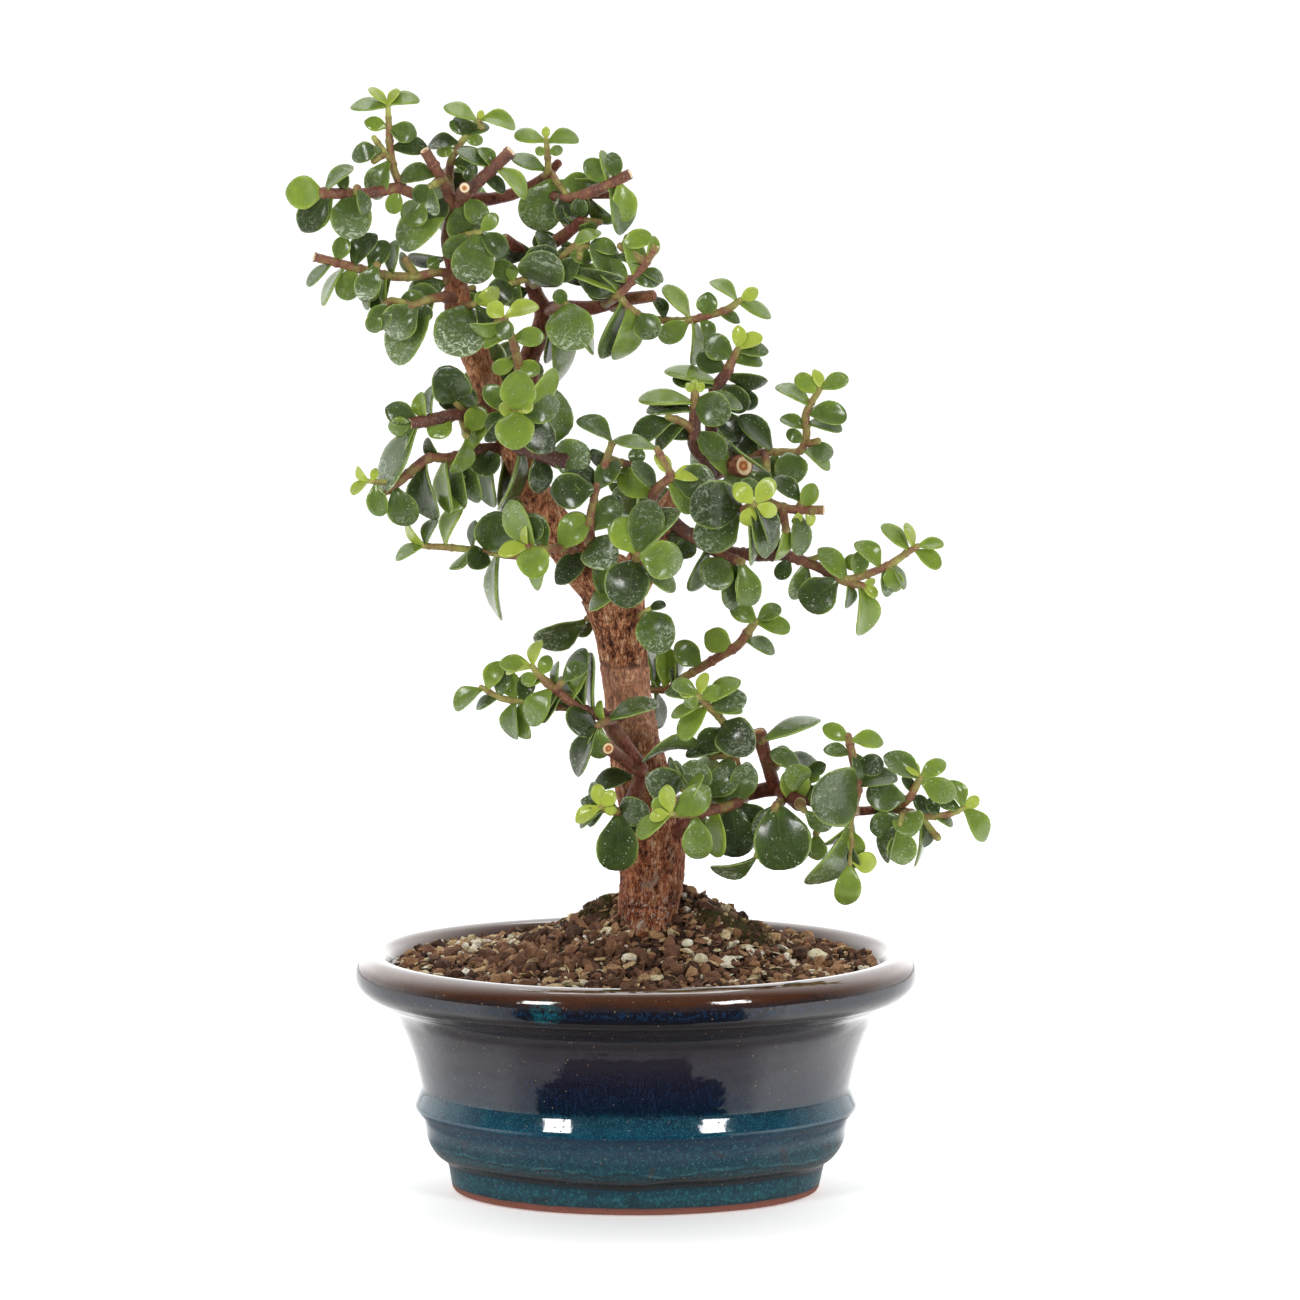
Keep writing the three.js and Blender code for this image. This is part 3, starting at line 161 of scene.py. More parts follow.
def smooth_route(stops, spacing):
    """A smooth line through stops (x, y, z, radius): its points, radii and lengths along it, about
    spacing apart."""
    stops = np.asarray(stops, float)
    chord = np.linalg.norm(np.diff(stops[:, :3], axis=0), axis=1)
    count = max(3, int(np.cumsum(chord)[-1] / spacing) + 1)
    line, s = cubic_line(stops, chord, count)
    return line[:, :3], line[:, 3], s


def carried_frames(points):
    """Tangents of a line and two directions across it, carried along without twisting."""
    tangents = unit(np.gradient(points, axis=0))
    sides = np.empty_like(points)
    side = np.array([1.0, 0.13, 0.07])
    for i, tangent in enumerate(tangents):
        side = unit(side - tangent * side.dot(tangent))
        sides[i] = side
    return tangents, sides, np.cross(tangents, sides)


def spokes(side, across, around):
    """Directions at even turns round each point of a line, from its two directions across it."""
    turn = turns(around)
    return side[:, None] * np.cos(turn)[:, None] + across[:, None] * np.sin(turn)[:, None]


def closed(rings, first, last):
    """Rings of points or values as one list, then the one that closes their start and the one that
    closes their end."""
    return np.concatenate([rings.reshape(-1, rings.shape[-1]), [first, last]])


def cells(a, b, c, d):
    """Two triangles for each four-cornered cell."""
    return np.concatenate([np.stack([a, b, c], -1).reshape(-1, 3), np.stack([a, c, d], -1).reshape(-1, 3)])


def skin(rings, around):
    """Triangles of a closed skin over rings x around points that are followed by one point at its start
    and one at its end."""
    i = np.arange(rings - 1)[:, None] * around
    j = np.arange(around)
    nxt = (j + 1) % around
    body = cells(i + j, i + nxt, i + around + nxt, i + around + j)
    first, last = rings * around, rings * around + 1
    end = (rings - 1) * around
    start_fan = np.stack([np.full(around, first), nxt, j], -1)
    end_fan = np.stack([end + j, end + nxt, np.full(around, last)], -1)
    return np.concatenate([body, start_fan, end_fan])


def route_of(stops):
    """Stops (u, v, depth, width) in view units as (x, y, z, radius) in mm."""
    u, v, depth, width = np.asarray(stops, float).T
    return np.column_stack([seen(u, v, depth), width * UNIT / 2])


# The rings past the end of a route that make up a cut end's lip
LIP_RINGS = 3


def ended_route(stops, spacing, end, cut):
    """A smooth line through stops, carried on past its end by a few rings: end gives the share of the
    last radius that each has and how far on it lies, in last radii. Returns the points, radii, lengths
    and two directions across, that share, and 1 for the rings of a cut end that lie inside its lip."""
    shrink, reach = end
    line, radius, s = smooth_route(route_of(stops), spacing)
    count = len(shrink)
    way = np.concatenate([np.ones(len(s)), shrink])
    flat = np.concatenate([np.zeros(len(s) + LIP_RINGS), np.ones(count - LIP_RINGS)]) * cut
    ahead = unit(line[-1:] - line[-2:-1])
    line = np.concatenate([line, line[-1:] + ahead * (reach * radius[-1])[:, None]])
    s = np.concatenate([s, s[-1] + reach * radius[-1]])
    radius = np.concatenate([radius, np.full(count, radius[-1])])
    _, side, across = carried_frames(line[:1 - count])

    def held(directions):
        """Directions that stay past the route's end as they are at it."""
        return np.concatenate([directions[:-1], np.repeat(directions[-2:-1], count, axis=0)])
    return line, radius, s, held(side), held(across), way, flat


# Pieces


def put_in_scene(name, data):
    """A new object in the scene that shows a mesh, a light or a camera."""
    made = bpy.data.objects.new(name, data)
    bpy.context.scene.collection.objects.link(made)
    return made


class Surface:
    """Points, triangles and named per-point values that are gathered and then made one piece."""

    def __init__(self):
        self.points, self.triangles, self.values, self.count = [], [], [], 0

    def add(self, points, triangles, **values):
        """Adds points (n, 3), their triangles, and values with one number or four a point."""
        points = np.asarray(points, float).reshape(-1, 3)
        self.points.append(points)
        self.triangles.append(triangles + self.count)
        spread = {}
        for name, value in values.items():
            value = np.asarray(value, float)
            value = value.reshape(len(points), -1) if value.size > 4 else value.reshape(1, -1)
            spread[name] = np.broadcast_to(value, (len(points), value.shape[1]))
        self.values.append(spread)
        self.count += len(points)

    def piece(self, name, material, slot, nodes, flat=False):
        """Makes the piece: an object that rides on the root body and stands for CAD nodes."""
        mesh = bpy.data.meshes.new(name)
        mesh.from_pydata(np.concatenate(self.points) * METRES, [], np.concatenate(self.triangles))
        for key in self.values[0]:
            column = np.concatenate([v[key] for v in self.values])
            if column.shape[1] == 1:
                layer = mesh.attributes.new(key, "FLOAT", "POINT")
                layer.data.foreach_set("value", column.ravel())
            else:
                layer = mesh.attributes.new(key, "FLOAT_COLOR", "POINT")
                layer.data.foreach_set("color", column.ravel())
        mesh.polygons.foreach_set("use_smooth", np.full(len(mesh.polygons), not flat))
        mesh.materials.append(material)
        mesh.update()
        made = put_in_scene(name, mesh)
        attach(made, "root")
        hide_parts(*nodes)


# The plant's layout, as in the part's own source with a few leaves placed better. Routes are stops
# [u, v, depth, width].

TRUNK = [
    [646, 985, 3, 40], [648, 945, 1, 50], [649, 912, 0, 60], [651, 870, 0, 64], [653, 832, 0, 64],
    [645, 790, 1, 58], [635, 740, 2, 51], [627, 697, 3, 47], [621, 650, 3, 50], [617, 612, 1, 58],
    [611, 588, 0, 63], [584, 563, -2, 46], [559, 532, -3, 37], [529, 480, -4, 32], [507, 431, -4, 30],
    [479, 364, -5, 28], [464, 330, -5, 27], [457, 297, -5, 26], [455, 274, -5, 18], [448, 240, -5, 14],
    [455, 203, -5, 13],
]

LIMBS = [
    # right, to a cut end
    [[618, 600, 4, 44], [640, 568, 8, 36], [654, 535, 9, 28], [672, 505, 8, 24], [694, 482, 6, 22],
     [718, 469, 2, 20], [742, 466, -10, 22]],
    # upper right, and its three arms
    [[512, 446, -2, 22], [522, 418, 2, 20], [529, 392, 4, 20], [530, 357, 6, 20], [539, 335, 7, 20],
     [544, 312, 7, 19], [537, 297, 7, 16], [531, 279, 7, 15], [527, 256, 7, 14]],
    [[542, 310, 7, 15], [562, 308, 4, 16], [590, 308, 0, 15], [620, 300, -4, 14], [652, 296, -8, 12]],
    [[529, 262, 7, 12], [540, 251, 4, 12.6], [562, 237, 0, 12.6], [581, 221, -4, 12]],
    [[527, 256, 7, 12], [516, 247, 4, 11], [505, 239, 1, 11]],
    # top, and its arm
    [[452, 209, -5, 14], [471, 200, -2, 14], [492, 199, 1, 13], [515, 193, 3, 12], [533, 185, 5, 11],
     [547, 175, 6, 10], [558, 163, 6, 9]],
    [[533, 186, 5, 8], [556, 193, 2, 8], [585, 195, 0, 8], [611, 195, -2, 8]],
    # low right, and its two cut arms
    [[662, 840, 0, 18], [682, 828, -10, 14], [702, 812, -13, 13], [728, 801, -15, 13], [752, 793, -17, 14],
     [776, 789, -19, 15], [800, 797, -20, 12], [826, 806, -21, 10], [860, 811, -23, 9], [895, 807, -25, 8]],
    [[775, 790, -19, 14], [771, 775, -22, 13], [764, 752, -26, 13], [759, 733, -28, 14]],
    [[778, 789, -19, 14], [790, 796, -28, 15], [799, 803, -36, 16]],
    # low left, and its ringed stub
    [[640, 835, 0, 14], [627, 815, -12, 12], [634, 792, -17, 12], [641, 770, -20, 13], [627, 748, -21, 15],
     [611, 727, -21, 15], [601, 712, -20, 11]],
    [[642, 773, -20, 13], [625, 760, -24, 13], [609, 749, -37, 13]],
]

# Each shoot's stems as routes, its leaves as [base u, base v, tip u, tip v, shown width, marks], and its
# crossed pairs of leaves as [count, length, first turn]
SHOOTS = {
    "shoot_top_left": {"stems": [
        [[447, 214, -6, 12], [430, 203, -8, 11], [412, 193, -11, 11], [395, 188, -14, 11],
         [378, 192, -17, 11], [350, 194, -21, 11], [323, 193, -24, 11]],
        [[404, 190, -12, 9], [395, 173, -13, 8], [391, 155, -14, 8], [389, 129, -15, 7], [388, 106, -16, 5]],
        [[391, 160, -14, 6], [384, 151, -16, 6], [374, 138, -19, 6]],
    ], "leaves": [
        [386, 106, 350, 108, 13, "l"], [390, 106, 419, 97, 12, "l"], [387, 102, 368, 89, 9, "y"],
        [388, 102, 399, 89, 8, "y"], [385, 128, 364, 121, 14, "l"], [393, 129, 417, 135, 20],
        [388, 128, 405, 143, 9], [393, 148, 428, 150, 17, "d"], [382, 150, 351, 157, 18],
        [383, 150, 374, 148, 9], [390, 160, 372, 199, 23, "b"], [325, 190, 353, 166, 12, "b"],
        [346, 192, 342, 172, 12], [321, 193, 287, 191, 31, "l"], [328, 194, 302, 232, 28, "d"],
        [334, 194, 311, 229, 23, "f"], [349, 195, 353, 237, 38, "b"], [360, 193, 365, 218, 9],
        [425, 199, 404, 224, 26], [397, 190, 392, 214, 16, "lf"],
    ]},
    "shoot_crown": {"stems": [
        [[453, 206, -5, 10], [449, 180, -4, 9], [453, 155, -5, 8], [463, 140, -6, 7], [479, 120, -8, 6]],
    ], "leaves": [
        [476, 120, 444, 105, 13, "l"], [479, 121, 516, 124, 15, "l"], [478, 121, 482, 110, 7, "y"],
        [466, 137, 450, 121, 12], [466, 137, 488, 124, 13], [465, 139, 483, 141, 11, "l"],
        [458, 142, 427, 144, 15, "d"], [455, 148, 436, 152, 12, "l"], [452, 163, 478, 172, 14],
    ]},
    "shoot_crown_left": {"stems": [
        [[452, 212, -6, 12], [446, 188, -12, 11], [427, 154, -18, 11]],
    ], "leaves": [
        [440, 176, 400, 175, 17], [449, 197, 430, 220, 20, "d"], [451, 205, 399, 247, 34, "ob"],
        [436, 190, 414, 200, 18, "d"],
    ]},
    "shoot_crown_right": {"stems": [
        [[455, 206, -7, 12], [470, 190, -13, 12], [507, 155, -18, 12.6]],
        [[460, 199, -9, 11], [464, 189, -24, 11.5]],
    ], "leaves": [
        [490, 166, 457, 150, 14], [492, 168, 480, 147, 12, "f"], [498, 172, 527, 198, 14, "l"],
        [484, 180, 506, 190, 13, "d"], [457, 206, 461, 232, 22, "b"], [466, 200, 486, 222, 22, "b"],
    ]},
    "shoot_top_right": {"stems": [
        [[545, 180, 5, 9], [548, 166, 1, 7], [547, 150, -1, 6], [546, 136, -2, 5]],
        [[550, 172, 5, 8], [560, 186, -2, 7], [566, 194, -4, 6]],
    ], "leaves": [
        [545, 142, 514, 135, 13, "l"], [548, 143, 578, 135, 14, "l"], [546, 140, 546, 126, 8, "y"],
        [548, 153, 563, 149, 10, "l"], [546, 154, 535, 149, 9, "l"], [546, 171, 511, 158, 15],
        [552, 180, 533, 230, 41, "b"], [561, 190, 576, 224, 30, "d"], [562, 184, 592, 186, 26],
        [562, 178, 604, 181, 15, "f"],
    ]},
    "shoot_top_right_tip": {"stems": [
        [[552, 196, 0, 9], [575, 197, -6, 10], [594, 191, -9, 11], [626, 176, -12, 11]],
    ], "leaves": [
        [609, 183, 585, 160, 20], [617, 180, 611, 152, 17], [606, 184, 600, 150, 9, "l"],
        [619, 182, 626, 222, 23, "l"], [610, 188, 626, 234, 25, "f"], [588, 196, 613, 224, 14, "d"],
        [582, 196, 578, 216, 16, "d"],
    ]},
    "shoot_upper_right": {"stems": [
        [[530, 282, 6, 11], [538, 274, -5, 9], [556, 262, -12, 8], [574, 246, -14, 7]],
        [[538, 274, -5, 8], [522, 280, -9, 7], [508, 284, -12, 6]],
    ], "leaves": [
        [551, 265, 541, 230, 14, "d"], [556, 262, 568, 248, 12, "d"], [566, 253, 592, 260, 15],
        [572, 247, 600, 230, 12, "l"], [575, 246, 590, 238, 9, "b"], [538, 274, 550, 244, 34, "dg"],
        [549, 266, 590, 266, 22, "d"], [516, 282, 494, 262, 20], [510, 284, 490, 298, 26, "d"],
        [520, 281, 516, 312, 16, "g"], [512, 283, 512, 264, 12, "l"],
    ]},
    "shoot_upper_right_tip": {"stems": [
        [[604, 304, -3, 10], [618, 295, -13, 9], [640, 271, -14, 9], [654, 249, -16, 9]],
        [[618, 295, -13, 8], [629, 307, -14, 7], [641, 315, -14, 6]],
    ], "leaves": [
        [618, 295, 572, 268, 20, "l"], [619, 294, 592, 240, 24], [630, 284, 604, 262, 18],
        [634, 278, 632, 234, 20, "l"], [648, 260, 655, 236, 12, "l"], [642, 268, 619, 253, 11],
        [640, 271, 664, 280, 11], [638, 314, 656, 338, 26], [629, 308, 621, 362, 25, "l"],
        [622, 300, 599, 358, 20], [610, 299, 588, 284, 18, "d"],
    ]},
    "shoot_left_upper": {"stems": [
        [[456, 276, -5, 10], [440, 272, -9, 9], [418, 276, -12, 9], [390, 276, -15, 9], [365, 270, -17, 9],
         [349, 266, -18, 9], [335, 262, -19, 9], [318, 258, -21, 9]],
        [[416, 276, -12, 8], [405, 259, -16, 8]],
    ], "leaves": [
        [335, 260, 308, 287, 10, "g"], [337, 262, 345, 236, 17], [353, 266, 375, 233, 20, "d"],
        [369, 270, 387, 241, 20, "d"], [392, 275, 397, 240, 14], [353, 268, 344, 300, 23, "l"],
        [346, 268, 322, 306, 9, "l"], [375, 273, 363, 302, 23, "b"], [390, 276, 376, 313, 17, "d"],
        [378, 274, 365, 310, 9, "f"], [386, 276, 386, 336, 18, "lf"], [421, 275, 400, 252, 12],
        [438, 273, 430, 256, 12],
    ]},
    "shoot_leader_left": {"stems": [
        [[462, 302, -4, 12], [444, 297, -14, 11], [428, 300, -21, 8], [412, 306, -24, 7]],
    ], "leaves": [
        [444, 290, 407, 296, 20, "g"], [430, 298, 396, 306, 16, "f"], [418, 304, 386, 334, 34, "b"],
        [434, 304, 397, 365, 38, "b"], [426, 300, 424, 322, 16, "d"],
    ]},
    "shoot_leader_front": {"stems": [
        [[449, 246, -4, 8], [463, 236, -13, 7], [480, 232, -18, 6]],
    ], "leaves": [
        [478, 233, 469, 284, 40, "b"], [480, 234, 507, 256, 20, "d"], [470, 234, 444, 256, 20],
        [482, 233, 497, 214, 14, "l"],
    ]},
    "shoot_leader_disc": {"stems": [
        [[460, 304, -4, 10], [468, 306, -15, 8], [474, 304, -20, 7]],
    ], "leaves": [
        [468, 306, 455, 354, 50, "bb"], [474, 304, 496, 340, 20, "d"], [474, 304, 484, 292, 10, "l"],
        [473, 304, 500, 290, 17, "y"],
    ]},
    "shoot_second_front": {"stems": [
        [[548, 312, 5, 10], [560, 306, -12, 9], [566, 304, -18, 7]],
    ], "leaves": [
        [567, 304, 577, 347, 44, "b"], [556, 312, 564, 382, 25, "o"], [566, 306, 592, 356, 14, "f"],
        [552, 310, 546, 364, 14, "d"], [566, 304, 556, 290, 14],
    ]},
    "shoot_lime_front": {"stems": [
        [[524, 402, 0, 9], [521, 380, -18, 9], [514, 345, -27, 9], [505, 318, -30, 6]],
    ], "leaves": [
        [504, 317, 488, 303, 17, "y"], [506, 317, 539, 306, 15, "y"], [504, 320, 470, 329, 14, "l"],
        [510, 337, 483, 346, 11, "l"], [513, 338, 545, 337, 18, "l"], [517, 362, 540, 372, 16, "l"],
        [516, 362, 492, 370, 15, "l"],
    ]},
    "shoot_rosette_front": {"stems": [
        [[497, 412, -4, 10], [508, 412, -28, 9], [516, 410, -42, 6]],
    ], "leaves": [
        [516, 408, 519, 372, 33, "l"], [516, 412, 516, 446, 36, "l"], [514, 409, 499, 405, 14, "y"],
        [518, 409, 533, 402, 15, "y"], [508, 406, 484, 386, 20], [516, 404, 557, 370, 18, "l"],
        [514, 410, 560, 404, 28], [512, 414, 553, 452, 32, "d"], [506, 410, 486, 428, 17, "g"],
        [508, 416, 486, 442, 16, "d"],
    ]},
    "shoot_mid_front": {"stems": [
        [[516, 446, -4, 14], [524, 448, -18, 15], [542, 453, -23, 17], [562, 460, -26, 19]],
    ], "leaves": [
        [552, 448, 590, 456, 34, "b"], [548, 424, 556, 388, 28, "o"], [556, 418, 588, 453, 25, "b"],
        [520, 452, 502, 512, 16], [536, 456, 540, 494, 22, "d"], [524, 446, 530, 420, 20, "d"],
    ]},
    "shoot_left_mid": {"stems": [
        [[496, 406, -4, 13], [468, 412, -14, 12], [439, 418, -20, 12.6], [415, 423, -24, 12.6]],
        [[470, 412, -13, 9], [458, 404, -18, 8], [452, 396, -20, 7]],
    ], "leaves": [
        [420, 420, 385, 408, 23, "d"], [412, 422, 388, 428, 18, "l"], [432, 416, 431, 385, 10],
        [456, 402, 446, 367, 36, "d"], [462, 406, 470, 384, 26, "d"], [450, 416, 430, 436, 24, "l"],
        [418, 424, 383, 493, 25, "b"], [416, 424, 398, 462, 14, "gf"], [470, 414, 487, 436, 20, "l"],
        [426, 420, 420, 392, 14, "l"],
    ]},
    "shoot_left_low": {"stems": [
        [[504, 449, -3, 13], [478, 450, -11, 12], [448, 458, -17, 10], [429, 458, -20, 10],
         [415, 468, -22, 10], [400, 481, -24, 9], [386, 492, -26, 7]],
        [[396, 483, -24, 6], [382, 482, -27, 6], [368, 481, -29, 5]],
    ], "leaves": [
        [369, 481, 351, 494, 9, "y"], [369, 480, 356, 467, 9, "y"], [372, 481, 376, 468, 8, "y"],
        [376, 483, 379, 517, 20], [396, 488, 411, 526, 29], [426, 460, 434, 521, 25, "d"],
        [470, 451, 486, 408, 20, "lf"], [452, 458, 462, 480, 9, "l"], [484, 449, 488, 475, 30, "d"],
        [470, 452, 474, 504, 22, "g"], [458, 456, 460, 510, 20], [492, 452, 492, 508, 20],
        [446, 458, 452, 514, 17, "l"], [508, 452, 500, 512, 15], [440, 458, 424, 440, 12, "d"],
    ]},
    "shoot_left_trunk": {"stems": [
        [[566, 548, 0, 9], [520, 556, -8, 8], [474, 550, -12, 7], [444, 547, -14, 7], [424, 546, -15, 6]],
    ], "leaves": [
        [425, 545, 405, 523, 10, "y"], [426, 547, 395, 559, 10, "l"], [426, 545, 436, 518, 11],
        [446, 546, 459, 505, 14, "l"], [473, 549, 475, 520, 9, "d"], [488, 553, 500, 510, 38, "d"],
        [471, 551, 450, 570, 10, "u"], [498, 555, 499, 621, 15, "b"], [484, 552, 470, 566, 24, "d"],
    ]},
    "shoot_star_left": {"stems": [
        [[578, 557, -3, 10], [566, 548, -22, 9], [548, 549, -32, 8], [529, 548, -38, 6]],
    ], "leaves": [
        [528, 547, 521, 516, 11, "y"], [527, 548, 498, 553, 14, "y"], [530, 549, 539, 575, 30, "l"],
        [552, 551, 534, 590, 14, "l"], [546, 548, 530, 513, 23, "g"], [534, 547, 510, 500, 25, "l"],
        [560, 548, 584, 514, 28, "l"],
    ]},
    "shoot_centre_left": {"stems": [
        [[596, 574, -4, 12], [592, 548, -18, 10], [590, 520, -26, 9], [596, 490, -30, 7]],
    ], "leaves": [
        [597, 488, 550, 492, 34, "d"], [592, 530, 620, 497, 26, "g"], [591, 540, 610, 562, 36, "b"],
        [592, 556, 603, 594, 20], [592, 552, 556, 584, 23, "d"], [597, 490, 617, 460, 20, "d"],
        [594, 500, 572, 462, 22, "d"], [592, 524, 566, 520, 20, "l"],
    ]},
    "shoot_centre": {"stems": [
        [[624, 594, -4, 13], [632, 574, -26, 11], [638, 554, -38, 8]],
    ], "leaves": [
        [637, 554, 616, 518, 29, "l"], [639, 554, 682, 563, 36, "l"], [640, 552, 652, 500, 34, "g"],
        [636, 558, 678, 508, 23, "g"], [634, 560, 620, 602, 42, "d"], [636, 566, 676, 590, 14, "o"],
        [628, 584, 588, 610, 17, "l"],
    ]},
    "shoot_centre_top": {"stems": [
        [[664, 520, 2, 13], [652, 500, -22, 11], [660, 486, -30, 10], [672, 477, -34, 8]],
    ], "leaves": [
        [652, 498, 618, 470, 26, "l"], [656, 492, 632, 462, 16], [672, 476, 656, 453, 13, "y"],
        [674, 476, 702, 473, 15, "y"], [668, 481, 692, 513, 20, "l"], [668, 478, 716, 484, 34, "g"],
    ]},
    "shoot_centre_up": {"stems": [
        [[714, 476, 2, 15], [709, 462, -5, 14], [695, 445, -11, 14], [694, 432, -13, 13],
         [695, 416, -14, 12], [695, 392, -15, 8]],
        [[694, 430, -13, 9], [680, 421, -18, 8], [668, 417, -21, 7]],
    ], "leaves": [
        [695, 393, 686, 383, 8, "y"], [695, 393, 704, 383, 8, "y"], [695, 393, 696, 379, 7, "y"],
        [692, 412, 646, 410, 14, "g"], [690, 404, 638, 400, 12, "lf"], [693, 402, 730, 414, 33, "g"],
        [697, 402, 743, 405, 12, "f"], [676, 420, 631, 441, 20, "d"], [684, 426, 655, 448, 14],
        [697, 430, 726, 456, 24], [704, 450, 732, 472, 15, "l"], [690, 440, 662, 430, 14, "d"],
    ]},
    "shoot_cross_right": {"stems": [
        [[704, 478, 0, 13], [730, 508, -22, 10], [748, 508, -36, 8], [755, 504, -43, 7]],
    ], "leaves": [
        [754, 503, 734, 484, 18, "y"], [757, 503, 773, 479, 18, "y"], [757, 506, 777, 514, 15, "y"],
        [754, 507, 745, 526, 16, "y"], [742, 510, 691, 498, 46, "d"], [740, 512, 698, 547, 38, "g"],
        [752, 508, 768, 558, 26], [748, 510, 752, 566, 10, "b"], [756, 507, 775, 542, 17, "d"],
        [728, 506, 718, 480, 22, "d"],
    ]},
    "shoot_right_low": {"stems": [
        [[668, 520, 6, 14], [696, 538, -4, 12], [724, 556, -8, 11], [742, 562, -12, 8]],
    ], "leaves": [
        [726, 556, 707, 586, 34, "b"], [706, 546, 691, 592, 17], [744, 562, 750, 606, 25, "o"],
        [730, 560, 731, 610, 24], [738, 561, 742, 606, 11, "b"], [712, 548, 736, 532, 18, "g"],
        [688, 534, 684, 560, 20, "d"],
    ]},
    "shoot_right_inner": {"stems": [
        [[728, 468, 2, 13], [752, 488, -10, 11], [772, 504, -16, 10], [790, 509, -19, 9],
         [820, 510, -22, 9]],
        [[783, 508, -18, 8], [786, 530, -24, 8]],
    ], "leaves": [
        [797, 511, 798, 556, 20, "g"], [803, 508, 814, 483, 17, "l"], [805, 512, 813, 526, 10, "y"],
        [801, 512, 793, 524, 9, "y"], [784, 524, 779, 562, 14, "l"], [766, 498, 762, 470, 18, "d"],
        [776, 506, 770, 530, 14, "d"], [758, 492, 742, 482, 20, "g"],
    ]},
    "shoot_right_mid": {"stems": [
        [[724, 468, 8, 12], [747, 455, 4, 9], [780, 452, 1, 8], [801, 450, -1, 8], [806, 438, -2, 8],
         [806, 414, -4, 8], [820, 389, -6, 6]],
        [[806, 444, -2, 7], [818, 441, -5, 7]],
    ], "leaves": [
        [821, 389, 849, 379, 15, "l"], [820, 390, 815, 369, 11, "y"], [818, 393, 796, 375, 17, "l"],
        [810, 406, 776, 385, 14, "l"], [808, 414, 847, 418, 21], [808, 424, 843, 428, 14, "f"],
        [806, 430, 780, 418, 13], [805, 442, 787, 431, 13], [804, 450, 829, 471, 11, "l"],
        [806, 447, 833, 456, 18], [790, 451, 790, 483, 31, "g"], [772, 452, 738, 416, 20, "d"],
        [758, 453, 735, 432, 25, "d"], [776, 452, 770, 484, 20, "g"],
    ]},
    "shoot_right_top": {"stems": [
        [[610, 305, 0, 10], [638, 316, 8, 8], [661, 320, 8, 8], [690, 320, 6, 8], [710, 315, 4, 8],
         [730, 308, 2, 8], [740, 300, 1, 6]],
    ], "leaves": [
        [690, 318, 663, 286, 15, "l"], [706, 316, 708, 292, 20], [718, 312, 740, 323, 11],
        [737, 302, 711, 280, 12, "l"], [741, 300, 758, 289, 13, "y"], [740, 304, 771, 319, 14, "l"],
        [690, 322, 659, 339, 21, "l"], [693, 321, 697, 366, 14, "l"], [700, 319, 713, 340, 14, "f"],
        [664, 320, 656, 296, 12, "d"],
    ]},
    "shoot_right_up": {"stems": [
        [[712, 470, 10, 13], [711, 430, 4, 13], [713, 406, 1, 13], [716, 389, 0, 13], [727, 371, -3, 11],
         [738, 349, -5, 7]],
    ], "leaves": [
        [738, 350, 738, 325, 14, "y"], [739, 348, 763, 337, 13, "y"], [737, 352, 769, 351, 13, "g"],
        [734, 358, 705, 338, 25], [733, 362, 763, 361, 15], [727, 374, 768, 382, 18, "d"],
        [726, 370, 697, 355, 21, "d"], [716, 386, 672, 380, 18, "d"], [718, 384, 664, 370, 14, "lf"],
        [720, 384, 747, 410, 24, "d"], [713, 400, 752, 396, 18, "d"], [712, 412, 742, 440, 22, "d"],
    ]},
    "shoot_right_tip": {"stems": [
        [[662, 512, 10, 16], [690, 536, 8, 14], [728, 552, 2, 13], [760, 555, -2, 13], [784, 555, -5, 12],
         [801, 560, -8, 11], [820, 568, -10, 10], [844, 581, -12, 9], [863, 586, -14, 8]],
        [[842, 580, -12, 8], [850, 579, -13, 8], [873, 572, -15, 8], [894, 562, -17, 8], [908, 552, -18, 7],
         [918, 546, -19, 6]],
        [[806, 561, -8, 6], [821, 556, -11, 6]],
    ], "leaves": [
        [806, 562, 793, 600, 21, "b"], [846, 580, 817, 549, 21, "l"], [856, 577, 862, 551, 17],
        [880, 568, 857, 541, 17, "l"], [882, 568, 886, 597, 14, "b"], [888, 566, 897, 593, 21, "l"],
        [892, 564, 904, 590, 9, "f"], [910, 552, 880, 526, 15, "l"], [914, 549, 904, 523, 10, "y"],
        [918, 546, 944, 545, 11, "l"], [913, 550, 940, 568, 15, "l"], [838, 578, 803, 607, 36, "d"],
        [848, 582, 848, 609, 11], [858, 585, 864, 636, 21, "l"], [862, 586, 877, 597, 10, "y"],
        [862, 586, 875, 579, 8, "y"], [790, 556, 778, 580, 16, "d"], [772, 555, 780, 538, 14, "d"],
    ]},
    "shoot_trunk_right": {"stems": [
        [[636, 618, -4, 8], [646, 612, -13, 6], [649, 609, -15, 5]],
    ], "leaves": [
        [647, 611, 664, 647, 37, "b"], [648, 610, 666, 604, 8, "d"],
    ]},
    "shoot_low_right_mid": {"stems": [
        [[628, 692, 8, 10], [650, 689, 13, 8], [669, 689, 12, 8], [679, 681, 10, 8], [700, 668, 7, 9],
         [720, 656, 5, 10], [738, 645, 3, 10], [751, 628, 1, 9], [757, 621, 0, 6]],
    ], "leaves": [
        [756, 622, 731, 602, 20, "l"], [757, 621, 781, 607, 15, "l"], [757, 624, 790, 631, 16, "l"],
        [743, 640, 775, 653, 12, "g"], [732, 649, 705, 633, 25, "l"], [702, 667, 676, 643, 24],
        [664, 689, 664, 646, 22, "l"], [654, 689, 648, 644, 12, "g"], [658, 689, 649, 658, 15, "o"],
        [673, 686, 672, 667, 9, "g"], [654, 690, 660, 729, 12, "d"], [674, 684, 680, 642, 9, "df"],
    ]},
    "shoot_star_low": {"stems": [
        [[744, 796, -16, 10], [736, 762, -24, 9], [732, 738, -28, 9], [721, 719, -31, 8],
         [708, 706, -36, 8], [698, 696, -40, 6]],
    ], "leaves": [
